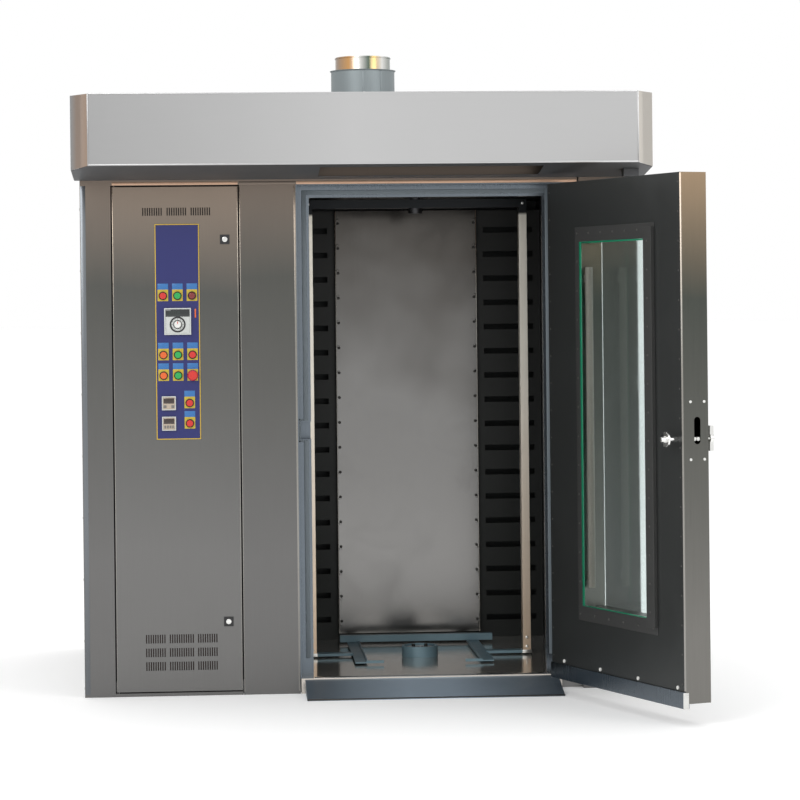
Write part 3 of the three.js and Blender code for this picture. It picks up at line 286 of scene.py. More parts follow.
def screw_master(radius=None, height=None):
    """A low round screw head on z = 0: a dome, a flat round the socket, and the socket."""
    sizes = bpy.context.scene.oven_sizes
    radius = radius or sizes.screw_radius
    height = height or sizes.screw_height
    dome, flat, wall = radius * 0.3, radius * 0.252, radius * 0.06
    deselect()
    bpy.ops.mesh.primitive_cylinder_add(vertices=12, radius=radius, depth=height, location=(0, 0, height / 2))
    piece = named("screw")
    settle(piece)
    select_faces(piece, lambda face: face.normal.z > 0.9)
    for width, depth in ((dome, height * 0.3), (flat, 0), (wall, -height * 0.7)):
        bpy.ops.mesh.inset(thickness=width, depth=depth)
    leave_edit()
    smooth(piece, 40)
    return piece


def scatter(master, name, spots, facing=UPWARDS, into=None):
    """Copies a master to each spot, turned to face a direction, and joins the copies into one piece."""
    turn = Vector(UPWARDS).rotation_difference(Vector(facing)).to_matrix().to_4x4()
    copies = []
    for spot in spots:
        mesh = master.data.copy()
        mesh.transform(Matrix.Translation(spot) @ turn)
        copy = bpy.data.objects.new(name, mesh)
        bpy.context.collection.objects.link(copy)
        copies.append(copy)
    bpy.data.objects.remove(master)
    return join(copies, name, into)


def join(pieces, name, into=None):
    """Joins pieces into one, and carries it by a matrix if one is given."""
    deselect()
    for piece in pieces:
        piece.select_set(True)
    bpy.context.view_layer.objects.active = pieces[0]
    if len(pieces) > 1:
        bpy.ops.object.join()
    piece = bpy.context.view_layer.objects.active
    piece.name = piece.data.name = name
    if into is not None:
        piece.data.transform(into)
    deselect()
    return piece


def steps(start, end, count):
    """Evenly spaced values from start to end."""
    return [start + (end - start) * index / (count - 1) for index in range(count)]


def dress(piece, material, body, slot_name):
    """Gives a finished piece its material and the body that it rides on; the record slot is not used."""
    piece.data.materials.clear()
    piece.data.materials.append(MATERIALS[material])
    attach(piece, body)
    return piece


def lay_blocks(name, boxes, material, home, into=None, **rounding):
    """Blocks between pairs of corners, joined into one dressed piece."""
    pieces = [block(name, low, high, **rounding) for low, high in boxes]
    return dress(join(pieces, name, into), material, *home)


def lay_screws(name, spots, material, home, facing=UPWARDS, into=None, **size):
    """A screw head on each spot, joined into one dressed piece."""
    return dress(scatter(screw_master(**size), name, spots, facing, into), material, *home)


def lay_rings(name, spots, size, material, home, facing=UPWARDS, **shape):
    """A flat ring on each spot, joined into one dressed piece. The size is two radii and a height."""
    return dress(scatter(ring(*size, **shape), name, spots, facing), material, *home)


def turned_blocks(name, low, high, places, edge):
    """One block made at each place, a matrix that carries it there."""
    pieces = [block(name, low, high, edge=edge) for _ in places]
    for piece, place in zip(pieces, places):
        piece.data.transform(place)
    return pieces


def on_circle(centre, turn, radius=0.0):
    """The matrix of a place round an upright axis, turned to face outwards."""
    x, y = centre.x + radius * math.cos(turn), centre.y + radius * math.sin(turn)
    return Matrix.Translation((x, y, 0)) @ Matrix.Rotation(turn, 4, "Z")


def centre_of(node):
    low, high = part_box(node)
    return (low + high) / 2


# ----------------------------------------------------------------------------------- materials


def fill(tree, sockets, values):
    """Sets each socket to its value, or links its value to it where that is a socket too."""
    for socket, value in zip(sockets, values):
        if isinstance(value, bpy.types.NodeSocket):
            tree.links.new(value, socket)
        else:
            socket.default_value = value


def feed(tree, node, **inputs):
    """Fills a node's inputs by their names."""
    fill(tree, [node.inputs[name.replace("_", " ")] for name in inputs], inputs.values())


def add(tree, kind, **inputs):
    """A new shader node with its named inputs filled."""
    node = tree.nodes.new("ShaderNode" + kind)
    feed(tree, node, **inputs)
    return node


def math_node(tree, operation, first, second, clamp=False):
    """A Math node on two numbers or sockets."""
    node = add(tree, "Math")
    node.operation = operation
    node.use_clamp = clamp
    fill(tree, node.inputs, (first, second))
    return node.outputs[0]


def vector_math(tree, operation, vector, **inputs):
    """A Vector Math node on one vector."""
    node = add(tree, "VectorMath")
    node.operation = operation
    fill(tree, node.inputs, [vector])
    feed(tree, node, **inputs)
    return node


def map_range(tree, value, start=0.0, end=1.0, low=0.0, high=1.0, clamp=True):
    """A value carried from one range to another."""
    node = add(tree, "MapRange", Value=value, From_Min=start, From_Max=end, To_Min=low, To_Max=high)
    node.clamp = clamp
    return node.outputs[0]


def blend(tree, share, first, second):
    """A mix of two colours."""
    mix = add(tree, "Mix")
    mix.data_type = "RGBA"
    fill(tree, (mix.inputs["Factor"], mix.inputs[6], mix.inputs[7]), (share, first, second))
    return mix.outputs[2]


def object_place(tree):
    return add(tree, "TexCoord").outputs["Object"]


def noise(tree, place, **inputs):
    return add(tree, "TexNoise", Vector=place, **inputs).outputs["Fac"]


def new_group(name, output, kind, **inputs):
    """An empty shader group with one output, and inputs that start at the values given."""
    tree = bpy.data.node_groups.new(name, "ShaderNodeTree")
    for title, default in inputs.items():
        sort = "Float" if isinstance(default, float) else "Color" if len(default) == 4 else "Vector"
        socket = tree.interface.new_socket(
            title.replace("_", " "), in_out="INPUT", socket_type="NodeSocket" + sort
        )
        socket.default_value = default
    tree.interface.new_socket(output, in_out="OUTPUT", socket_type="NodeSocket" + kind)
    return tree, tree.nodes.new("NodeGroupInput").outputs, tree.nodes.new("NodeGroupOutput").inputs


def build_grain_group():
    """Rolled sheet grain: streaks drawn out along one direction of the object."""
    tree, given, result = new_group("Rolled grain", "Grain", "Float", Stretch=(1, 1, 1), Detail=4.0)
    drawn = vector_math(tree, "MULTIPLY", object_place(tree))
    fill(tree, drawn.inputs[1:2], [given["Stretch"]])
    fill(tree, result, [noise(tree, drawn.outputs[0], Scale=1.0, Roughness=0.62, Detail=given["Detail"])])
    return tree


def build_fade_group():
    """A colour that passes through three tones with height, leans sideways and drifts a little. The sheet metals
    paint their reflections and shade with it.
    """
    tree, given, result = new_group(
        "Height fade", "Color", "Color",
        Low_Colour=(0.2, 0.2, 0.2, 1), Mid_Colour=(0.25, 0.25, 0.25, 1), High_Colour=(0.3, 0.3, 0.3, 1),
        From=0.0, To=2.0, Middle=0.5, Lean=0.0, Drift=0.1,
    )
    place = object_place(tree)
    split = add(tree, "SeparateXYZ", Vector=place)
    drift = math_node(tree, "SUBTRACT", noise(tree, place, Scale=1.7, Detail=3.0), 0.5)
    drift = math_node(tree, "MULTIPLY", drift, given["Drift"])
    height = map_range(tree, split.outputs["Z"], given["From"], given["To"], clamp=False)
    lean = math_node(tree, "MULTIPLY", split.outputs["X"], given["Lean"])
    share = math_node(tree, "ADD", math_node(tree, "ADD", height, drift), lean, clamp=True)
    lower = map_range(tree, share, 0.0, given["Middle"])
    upper = map_range(tree, share, given["Middle"], 1.0)
    colour = blend(tree, lower, given["Low Colour"], given["Mid Colour"])
    fill(tree, result, [blend(tree, upper, colour, given["High Colour"])])
    return tree


def build_marks_group():
    """Smudges, wipe marks and fine dust, as a mask from 0 to 1."""
    tree, given, result = new_group("Handling marks", "Marks", "Float", Size=6.0, Amount=0.5)
    place = object_place(tree)
    smudges = map_range(tree, noise(tree, place, Scale=given["Size"], Detail=5.0, Distortion=0.6), 0.45, 0.7)
    specks = math_node(tree, "MULTIPLY", noise(tree, place, Scale=140.0, Detail=2.0), 0.35)
    both = math_node(tree, "ADD", smudges, specks)
    fill(tree, result, [math_node(tree, "MULTIPLY", both, given["Amount"], clamp=True)])
    return tree


def use_group(tree, group, **values):
    """Places a shared group in a material with its own values."""
    node = tree.nodes.new("ShaderNodeGroup")
    node.node_tree = GROUPS[group]
    feed(tree, node, **values)
    return node.outputs[0]


def start_material(name):
    material = bpy.data.materials.new(name)
    material.use_nodes = True
    MATERIALS[name] = material
    return material.node_tree, material.node_tree.nodes["Principled BSDF"]


def rgba(colour):
    return (*tuple(colour)[:3], 1.0)


def halfway(first, second):
    return [(a + b) / 2 for a, b in zip(tuple(first)[:3], tuple(second)[:3])]


def wear(tree, size, amount, effect):
    """What handling marks add to a finish's roughness."""
    return math_node(tree, "MULTIPLY", use_group(tree, "marks", Size=size, Amount=amount), effect)


def raise_skin(tree, shader, grain, strength, distance):
    """Gives a finish its fine relief."""
    bump = add(tree, "Bump", Strength=strength, Distance=distance, Height=grain)
    feed(tree, shader, Normal=bump.outputs[0])


def sheet_metal(name, low, high=None, mid=None, middle=0.5, lean=0.0, span=(0.0, 1.95), stretch=(260, 260, 5),
                rough=(0.26, 0.4), marks=0.25, drift=0.25, bump=0.05, metallic=1.0, tone=(0.9, 1.08)):
    """Rolled sheet: a colour that fades with height as painted reflections and shade, drawn-out grain and wipe
    marks.
    """
    high = low if high is None else high
    tree, shader = start_material(name)
    fade = use_group(tree, "fade", Low_Colour=rgba(low), Mid_Colour=rgba(mid or halfway(low, high)),
                     High_Colour=rgba(high), From=span[0], To=span[1], Middle=middle, Lean=lean, Drift=drift)
    grain = use_group(tree, "grain", Stretch=stretch, Detail=4.0)
    tint = vector_math(tree, "SCALE", fade, Scale=map_range(tree, grain, low=tone[0], high=tone[1]))
    feed(tree, shader, Metallic=metallic, Base_Color=tint.outputs[0])
    rolled = map_range(tree, grain, low=rough[0], high=rough[1])
    patches = wear(tree, 4.0, marks, 0.18)
    feed(tree, shader, Roughness=math_node(tree, "ADD", rolled, patches, clamp=True))
    raise_skin(tree, shader, grain, bump, 0.001)
    return tree, shader


def coated(name, colour, second=None, rough=0.42, metallic=0.0, pimple=180.0, bump=0.08, coat=0.0, marks=0.3):
    """Paint, powder coat or moulded plastic: a nearly even colour with a fine pimpled skin."""
    tree, shader = start_material(name)
    second = second or [channel * 0.82 for channel in tuple(colour)[:3]]
    fade = use_group(tree, "fade", Low_Colour=rgba(second), Mid_Colour=rgba(halfway(second, colour)),
                     High_Colour=rgba(colour), From=-0.5, To=0.4, Drift=0.8)
    feed(tree, shader, Metallic=metallic, Coat_Weight=coat, Base_Color=fade,
         Roughness=math_node(tree, "ADD", wear(tree, 14.0, marks, 0.2), rough))
    skin = use_group(tree, "grain", Stretch=(pimple, pimple, pimple), Detail=2.0)
    raise_skin(tree, shader, skin, bump, 0.0006)
    return tree, shader


def past(tree, axis, start, end):
    """A mask that rises from 0 to 1 as an object coordinate goes from start to end."""
    split = add(tree, "SeparateXYZ", Vector=object_place(tree))
    return map_range(tree, split.outputs[axis], start, end)


def recolour(tree, shader, mask, colour):
    """Turns a material's colour to another one where a mask is 1."""
    before = shader.inputs["Base Color"].links[0].from_socket
    feed(tree, shader, Base_Color=blend(tree, mask, before, rgba(colour)))


def reflection_streaked_pipe(name, low, high, streaks):
    """Bright pipe with painted reflections: its colour changes in soft upright streaks from side to side."""
    tree, shader = start_material(name)
    ramp = add(tree, "ValToRGB", Fac=past(tree, "X", low, high))
    tones = ramp.color_ramp.elements
    while len(tones) < len(streaks):
        tones.new(0.5)
    for tone, (share, colour) in zip(tones, streaks):
        tone.position = share
        tone.color = rgba(colour)
    feed(tree, shader, Metallic=1.0, Base_Color=ramp.outputs[0],
         Roughness=math_node(tree, "ADD", wear(tree, 9.0, 0.4, 0.2), 0.16))


def pane_material(name, colour):
    """Tempered glass with a few wipe marks."""
    tree, shader = start_material(name)
    feed(tree, shader, Base_Color=rgba(colour), Transmission_Weight=1.0, Metallic=0.0, IOR=1.45,
         Roughness=math_node(tree, "ADD", wear(tree, 5.0, 0.4, 0.06), 0.02))


class OVEN_OT_finishes(bpy.types.Operator):
    """Build the shared shader groups and every finish"""

    bl_idname = "oven.finishes"
    bl_label = "Finishes"

    # Each finish and the CAD nodes that it covers. The buttons take theirs from their names.
    covers = {
        "air_panel_sheet": "rear_air_panel",
        "black_plastic": "lock_lower lock_upper",
        "blue_grey_paint": "entry_ramp",
        "bright_turned": "door_hinge_lower door_hinge_upper door_handle",
        "burner_red": "burner",
        "cap_red": "emergency_stop",
        "cast_grey": "top_bearing rotor_shaft",
        "ceiling_sheet": "chamber_ceiling",
        "column_sheet": "air_column_left air_column_right",
        "control_blue": "control_plate",
        "dark_sheet": "chamber_left_wall chamber_right_wall chamber_rear_wall heat_exchanger",
        "door_edge_sheet": "door_shell",
        "door_inner_sheet": "door_liner",
        "fitting_teal": "floor_hub rotor_base",
        "floor_sheet": "chamber_floor",
        "frame_sheet": "front_left_frame centre_front_panel right_front_panel",
        "front_sheet": "service_door",
        "galvanised": "flue_collar",
        "hood_sheet": "hood_shell",
        "inner_pane": "window_inner_glass",
        "jamb_sheet": "door_frame door_sweep",
        "lamp_tube": "door_lamp",
        "latch_steel": "latch_spindle",
        "mineral_wool": "insulation_jacket",
        "motor_blue": "fan_motor rotor_gearmotor",
        "outer_pane": "window_outer_glass",
        "pale_plastic": "temperature_controller",
        "polished_pipe": "flue_pipe",
        "rotor_steel": "rotor_frame",
        "side_sheet": "base_pan left_side_panel right_side_panel rear_panel roof_panel circulation_fan",
        "soffit_sheet": "hood_soffit",
        "white_nylon": "temperature_dial",
        "window_trim_sheet": "window_trim",
    }

    def execute(self, context):
        colours = context.scene.oven_colours
        GROUPS.update(grain=build_grain_group(), fade=build_fade_group(), marks=build_marks_group())
        self.front_and_hood(colours)
        self.inside_and_door(colours)
        self.fittings()
        self.coats(colours)
        pane_material("inner_pane", (0.985, 1.0, 0.995))
        pane_material("outer_pane", (0.9, 1.0, 0.985))
        self.dress_nodes(context.scene.oven_sizes.edge_radius)
        return {"FINISHED"}

    def front_and_hood(self, colours):
        """Sheet of the front, the sides, the hood and the flue."""
        even = {"tone": (0.94, 1.05), "drift": 0.12}
        # Front and frame sheets: painted reflections that fade from grey low, through dark above the middle, to
        # warm beige high
        sheet_metal("front_sheet", colours.panel_low, colours.panel_high, mid=colours.panel_middle, middle=0.67,
                    lean=0.12, span=(0.42, 1.80), **even)
        sheet_metal("frame_sheet", (0.162, 0.16, 0.157), (0.21, 0.17, 0.14), mid=(0.1, 0.1, 0.092), middle=0.73,
                    span=(0.5, 1.86), **even)
        # Painted reflection: the warm beige of the covers over the head rails
        sheet_metal("rail_sheet", (0.5, 0.33, 0.235), (0.56, 0.37, 0.26), rough=(0.3, 0.4))
        # Painted highlights for the folded edges, warmer towards the top
        sheet_metal("fold_highlight_sheet", (0.3, 0.29, 0.275), (0.62, 0.49, 0.38), mid=(0.27, 0.26, 0.235), middle=0.72,
                    rough=(0.2, 0.3))
        # Painted reflection on the front's left corner, a thin bluish strip
        sheet_metal("corner_reflection_sheet", (0.15, 0.16, 0.17), (0.2, 0.215, 0.23), rough=(0.22, 0.32))
        # Painted light: the sides a little lighter towards the top
        sheet_metal("side_sheet", (0.25, 0.25, 0.245), (0.32, 0.31, 0.3), stretch=(260, 260, 4))
        # The hood is even from front to back; painted light makes it lighter to the right, and painted highlights
        # set its mitred ends apart
        tree, shader = sheet_metal(
            "hood_sheet", [c * 0.64 for c in colours.hood], [c * 0.94 for c in colours.hood], mid=colours.hood,
            lean=0.5, span=(-50.0, 50.0), stretch=(5, 260, 260), rough=(0.28, 0.34), marks=0.05, drift=0.02,
            bump=0.004, tone=(0.985, 1.012),
        )
        # Painted highlights: warm beige on the front-left mitre, pale on the right end
        mitre_highlight = math_node(tree, "MULTIPLY", past(tree, "X", -0.9645, -0.9665), past(tree, "Y", -0.97, -1.0))
        recolour(tree, shader, mitre_highlight, (0.34, 0.245, 0.185))
        recolour(tree, shader, past(tree, "X", 0.9645, 0.9665), (0.6, 0.56, 0.5))
        sheet_metal("galvanised", (0.25, 0.28, 0.29), (0.265, 0.3, 0.31), span=(2.14, 2.25), rough=(0.42, 0.55),
                    marks=0.4, metallic=0.7, bump=0.02)
        # Painted reflections: warm, white and dark green bands across the pipe
        reflection_streaked_pipe("polished_pipe", -0.08, 0.12, (
            (0.0, (0.28, 0.23, 0.19)), (0.23, (0.6, 0.33, 0.13)), (0.4, (0.78, 0.77, 0.74)),
            (0.58, (0.1, 0.14, 0.11)), (0.7, (0.62, 0.43, 0.18)), (0.83, (0.78, 0.77, 0.74)),
            (1.0, (0.1, 0.13, 0.11)),
        ))

    def inside_and_door(self, colours):
        """Sheet of the mouth, the chamber, the rotor and the oven door."""
        across = (5, 260, 260)
        # Painted shade: the hood's underside kept dark
        sheet_metal("soffit_sheet", (0.09, 0.093, 0.098), (0.1, 0.103, 0.108), stretch=across, rough=(0.5, 0.6),
                    metallic=0.4, bump=0.01)
        sheet_metal("jamb_sheet", (0.15, 0.175, 0.2), (0.17, 0.195, 0.22), rough=(0.2, 0.3))
        sheet_metal("sill_sheet", (0.55, 0.56, 0.56), stretch=across, rough=(0.2, 0.3))
        # Painted shade and reflection: the air panel light low, dark towards the chamber's ceiling, in large
        # clouds
        sheet_metal("air_panel_sheet", (0.21, 0.206, 0.2), (0.09, 0.084, 0.077), mid=(0.215, 0.212, 0.206),
                    middle=0.52, span=(0.12, 1.6), drift=0.9, rough=(0.1, 0.18), marks=0.5)
        sheet_metal("dark_sheet", (0.045, 0.047, 0.047), (0.035, 0.036, 0.036), rough=(0.3, 0.45))
        sheet_metal("column_sheet", (0.036, 0.038, 0.037), (0.042, 0.042, 0.041), rough=(0.4, 0.5))
        sheet_metal("ceiling_sheet", (0.05, 0.05, 0.05), (0.06, 0.06, 0.06), rough=(0.3, 0.45))
        tree, shader = sheet_metal("floor_sheet", (0.68, 0.63, 0.57), stretch=across, rough=(0.08, 0.14),
                                   metallic=0.85)
        # Painted light: the chamber floor brighter towards the back
        recolour(tree, shader, past(tree, "Y", -0.5, 0.1), (0.95, 0.93, 0.88))
        # Painted reflections make the rotor's posts warm beige to near white; painted shade darkens them above
        # 1.74 m, near the chamber's ceiling
        tree, shader = sheet_metal("rotor_steel", (0.8, 0.62, 0.46), (1.0, 0.95, 0.84), span=(0.1, 1.1),
                                   rough=(0.28, 0.38))
        recolour(tree, shader, past(tree, "Z", 1.735, 1.745), (0.03, 0.032, 0.034))
        # Painted reflections on the door's edges: grey low, dark above the middle, warm high
        sheet_metal("door_edge_sheet", (0.175, 0.17, 0.158), (0.215, 0.155, 0.1), mid=(0.06, 0.065, 0.057),
                    middle=0.73, span=(0.3, 1.84), rough=(0.24, 0.34), drift=0.1)
        satin = {"rough": (0.3, 0.4), "metallic": 0.6, "bump": 0.02}
        sheet_metal("door_inner_sheet", colours.door_inside, marks=0.3, tone=(0.95, 1.04), **satin)
        sheet_metal("window_trim_sheet", (0.085, 0.086, 0.084), tone=(0.9, 1.1), **satin)

    def fittings(self):
        """Turned, cast and forged steel."""
        turned = {"stretch": (60, 60, 60), "rough": (0.06, 0.14), "marks": 0.1}
        sheet_metal("bright_turned", (0.78, 0.78, 0.76), **turned)
        tree, shader = sheet_metal("latch_steel", (0.78, 0.78, 0.76), **turned)
        recolour(tree, shader, past(tree, "Z", 0.971, 0.974), (0.15, 0.12, 0.065))
        sheet_metal("cast_grey", (0.1, 0.1, 0.105), (0.13, 0.13, 0.135), stretch=(90, 90, 90), rough=(0.4, 0.6),
                    bump=0.3)
        sheet_metal("screw_steel", (0.66, 0.66, 0.64), (0.7, 0.7, 0.68), stretch=(300, 300, 300),
                    rough=(0.2, 0.34))

    def coats(self, colours):
        """Paints, plastics and the seal."""
        tree, shader = coated("blue_grey_paint", colours.paint, rough=0.3, metallic=0.5, marks=0.5)
        # Lighter across the middle of the ramp, fading out towards both ends
        patches = math_node(tree, "MULTIPLY", past(tree, "X", -0.2, 0.15), past(tree, "X", 0.66, 0.3))
        recolour(tree, shader, patches, [min(1.0, c * 3.4) for c in colours.paint])
        coated("burner_red", (0.4, 0.03, 0.015), rough=0.35, coat=0.3)
        coated("motor_blue", (0.03, 0.1, 0.22), rough=0.4)
        coated("fitting_teal", (0.17, 0.27, 0.32), rough=0.35, metallic=0.2, marks=0.5)
        coated("lamp_tube", (0.3, 0.285, 0.245), rough=0.3, bump=0.02)
        coated("dark_screw", (0.05, 0.048, 0.045), rough=0.3, metallic=0.7)
        coated("dim_screw", (0.16, 0.158, 0.15), rough=0.3, metallic=0.8)
        # Dark sheets that paint the shade seen through the vents; the lower one is tinted by the red burner
        # behind
        coated("vent_shade_brown", (0.012, 0.008, 0.006), rough=0.6)
        coated("vent_shade_red", (0.025, 0.01, 0.007), rough=0.6)
        coated("pane_glint", (0.5, 0.64, 0.66), rough=0.15, coat=0.4, bump=0.01)
        coated("key_grey", (0.17, 0.165, 0.155), rough=0.45)
        coated("beige_plastic", (0.46, 0.38, 0.3), rough=0.42)
        coated("control_blue", colours.control_plate, rough=0.34, pimple=400.0, bump=0.02)
        coated("legend_blue", (0.032, 0.16, 0.42), rough=0.35, bump=0.02)
        coated("legend_yellow", (0.55, 0.41, 0.03), rough=0.38, bump=0.02)
        coated("border_yellow", (0.6, 0.4, 0.025), rough=0.36, bump=0.02)
        coated("black_plastic", (0.012, 0.012, 0.013), rough=0.4)
        coated("pale_plastic", (0.56, 0.58, 0.56), rough=0.42)
        coated("white_nylon", (0.78, 0.78, 0.75), rough=0.38)
        for cap, colour in (("red", (0.6, 0.02, 0.012)), ("green", (0.012, 0.36, 0.07)),
                            ("orange", (0.72, 0.12, 0.012))):
            coated("cap_" + cap, colour, rough=0.28, coat=0.3, bump=0.02)
        coated("pilot_red", (0.2, 0.01, 0.008), rough=0.15, coat=0.6, bump=0.02)
        coated("display_brown", (0.03, 0.017, 0.012), rough=0.15, coat=0.4, bump=0.01)
        coated("display_dark", (0.008, 0.012, 0.012), rough=0.12, coat=0.5, bump=0.01)
        coated("display_grey", (0.03, 0.05, 0.04), rough=0.3, bump=0.01)
        coated("seal_silicone", (0.17, 0.2, 0.22), rough=0.55, pimple=240.0)
        coated("mineral_wool", (0.42, 0.36, 0.2), second=(0.26, 0.21, 0.1), rough=0.9, pimple=60.0, bump=0.9)
        coated("pane_edge_green", (0.012, 0.19, 0.1), rough=0.1, coat=0.5, bump=0.01)

    def dress_nodes(self, edge_radius):
        """Gives every CAD node its finish, and a small radius on its folded edges."""
        finish = {name: material for material, names in self.covers.items() for name in names.split()}
        thin = ("window_outer_glass", "window_inner_glass", "control_plate")
        for name, node in NODES.items():
            material = "cap_" + name.split("_")[1] if name.startswith("button_") else finish[name]
            node.data.materials.clear()
            node.data.materials.append(MATERIALS[material])
            node.data.polygons.foreach_set("use_smooth", [True] * len(node.data.polygons))
            weld = node.modifiers.new("weld", "WELD")
            weld.merge_threshold = 0.00002
            add_bevel(node, "folded_edges", edge_radius / 2 if name in thin else edge_radius)
            even = node.modifiers.new("even_normals", "WEIGHTED_NORMAL")
            even.mode = "FACE_AREA"
            even.weight = 100
            even.keep_sharp = True


# ------------------------------------------------------------------------------- control plate

BUTTONS = (
    "button_red_1", "button_green_1", "button_orange_2", "button_green_2", "button_red_2", "button_orange_3",
    "button_green_3", "button_red_4", "button_red_5", "emergency_stop",
)
LEGEND_HEAD_SHARE = 0.34


class OVEN_OT_control_plate(bpy.types.Operator):
    """Dress the control plate: border, legend plates, bezels, pilot lamp and controllers"""

    bl_idname = "oven.control_plate"
    bl_label = "Control plate"

    def execute(self, context):
        face = PLATE_FACE
        low = (PLATE_LOW.x + 0.0006, face - 0.0007, PLATE_LOW.z + 0.0006)
        high = (PLATE_HIGH.x - 0.0006, face, PLATE_HIGH.z - 0.0006)
        dress(frame_strip("plate_border", low, high, 0.0032, edge=0.0002), "border_yellow", *PLATE_BLUE)

        pilot = Vector((centre_of("button_red_2").x, 0, centre_of("button_red_1").z))
        spots = [*map(centre_of, BUTTONS), pilot]
        self.legends(context.scene.oven_sizes, spots, face)
        lay_rings("button_bezels", [(spot.x, face, spot.z) for spot in spots], (0.0152, 0.0124, 0.0078),
                  "black_plastic", PLATE_DARK, TO_FRONT, edge=0.0008)
        lens = rod("pilot_lens", "y", (pilot.x, pilot.z), 0.0118, (face - 0.0105, face - 0.002), edge=0.003,
                   segments=4)
        dress(lens, "pilot_red", "service_door", "cap_red")

        margin, middle_row = 0.008, 1.308
        spots = [(x, face, z) for x in (PLATE_LOW.x + margin, PLATE_HIGH.x - margin)
                 for z in (PLATE_LOW.z + margin, middle_row, PLATE_HIGH.z - margin)]
        lay_screws("plate_screws", spots, "control_blue", PLATE_BLUE, TO_FRONT, radius=0.0032, height=0.0016)
        self.controller()
        self.small_controllers(face - 0.008)
        lay_blocks("plate_marker", [((-0.6015, face - 0.0022, 1.358), (-0.5965, face, 1.390))], "cap_orange",
                   ("service_door", "cap_orange"), edge=0.0006)
        return {"FINISHED"}

    def legends(self, sizes, spots, face):
        """A yellow plate behind each button and the pilot lamp, with a blue head."""
        plates, heads = [], []
        for spot in spots:
            left, right = spot.x - sizes.legend_width / 2, spot.x + sizes.legend_width / 2
            foot, top = spot.z - sizes.legend_below, spot.z + sizes.legend_above
            plates.append(((left, face - 0.0007, foot), (right, face, top)))
            heads.append(((left, face - 0.0009, top - (top - foot) * LEGEND_HEAD_SHARE),
                          (right, face - 0.0006, top)))
        lay_blocks("legend_plates", plates, "legend_yellow", PLATE_BLUE, edge=0.0003)
        lay_blocks("legend_heads", heads, "legend_blue", PLATE_BLUE, edge=0.0001)

    def controller(self):
        """The large controller: frame, display, scale ring with its ticks, and a pointer on the dial."""
        low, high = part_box("temperature_controller")
        front = low.y
        rim = frame_strip("controller_frame", (low.x, front - 0.0035, low.z), (high.x, front, high.z), 0.0045,
                          edge=0.0012)
        dress(rim, "pale_plastic", *PLATE_PALE)
        window = ((low.x + 0.0045, front - 0.0016, high.z - 0.031),
                  (high.x - 0.0045, front + 0.0005, high.z - 0.0045))
        lay_blocks("controller_display", [window], "display_dark", PLATE_DARK, edge=0.0006)
        digits = [frame_strip("digit", (x - 0.004, front - 0.0019, high.z - 0.0265),
                              (x + 0.004, front - 0.0015, high.z - 0.0125), 0.0013, edge=0)
                  for x in steps(low.x + 0.022, low.x + 0.052, 3)]
        dress(join(digits, "controller_digits"), "display_grey", *PLATE_DARK)

        dial = centre_of("temperature_dial")
        spot = (dial.x, front, dial.z)
        for name, size, vertices, edge in (("controller_scale", (0.0285, 0.0228, 0.0008), 48, 0.0002),
                                           ("dial_skirt", (0.0158, 0.0138, 0.0012), 40, 0.0003)):
            lay_rings(name, [spot], size, "black_plastic", PLATE_DARK, TO_FRONT, vertices=vertices, edge=edge)
        upright = Matrix.Translation(spot) @ Matrix.Rotation(math.radians(90), 4, "X")
        places = [upright @ Matrix.Rotation(math.radians(turn), 4, "Z") for turn in steps(240, -60, 11)]
        ticks = turned_blocks("tick", (0.0175, -0.0004, 0), (0.0222, 0.0004, 0.0007), places, edge=0)
        dress(join(ticks, "controller_ticks"), "black_plastic", *PLATE_DARK)
        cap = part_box("temperature_dial")[0].y
        pointer = ((dial.x - 0.0012, cap - 0.0012, dial.z + 0.002),
                   (dial.x + 0.0012, cap + 0.0004, dial.z + 0.0105))
        lay_blocks("dial_pointer", [pointer], "cap_red", ("dial", "cap_red"), edge=0.0003)

    def small_controllers(self, front):
        """The two small controllers: frame, display, and their sealed keys."""
        x, half = -0.697, 0.024
        rim = half + 0.001
        for number, z, key_count, key_half in ((1, 1.052, 2, 0.0052), (2, 0.979, 4, 0.0032)):
            body = ((x - half, front - 0.0006, z - half), (x + half, front + 0.004, z + half))
            lay_blocks(f"small_controller_{number}", [body], "beige_plastic", PLATE_PALE, edge=0.0012)
            strip = frame_strip(f"small_controller_rim_{number}", (x - rim, front - 0.0024, z - rim),
                                (x + rim, front + 0.001, z + rim), 0.0032, edge=0.0008)
            dress(strip, "pale_plastic", *PLATE_PALE)
            window = ((x - 0.019, front - 0.0016, z - 0.001), (x + 0.019, front, z + 0.018))
            lay_blocks(f"small_display_{number}", [window], "display_brown", PLATE_DARK, edge=0.0005)
            keys = [((key - key_half, front - 0.0018, z - 0.017), (key + key_half, front, z - 0.007))
                    for key in steps(x - 0.014, x + 0.014, key_count)]
            lay_blocks(f"small_keys_{number}", keys, "key_grey", PLATE_DARK, edge=0.0006)


class OVEN_OT_service_door(bpy.types.Operator):
    """Dress the service door: the cores of its two locks"""

    bl_idname = "oven.service_door"
    bl_label = "Service door"

    def execute(self, context):
        for name in ("lock_lower", "lock_upper"):
            low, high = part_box(name)
            core = rod(f"{name}_core", "y", ((low.x + high.x) / 2, low.z + 0.064), 0.0095,
                       (low.y - 0.0028, low.y + 0.001), edge=0.0008)
            select_faces(core, lambda face: face.normal.y < -0.9 and face.calc_area() > 0.0001)
            bpy.ops.mesh.inset(thickness=0.0045, depth=0)
            bpy.ops.mesh.inset(thickness=0.0004, depth=-0.002)
            leave_edit()
            smooth(core)
            dress(core, "bright_turned", name, "polished_steel")
        return {"FINISHED"}


# --------------------------------------------------------------------------- front, hood, flue


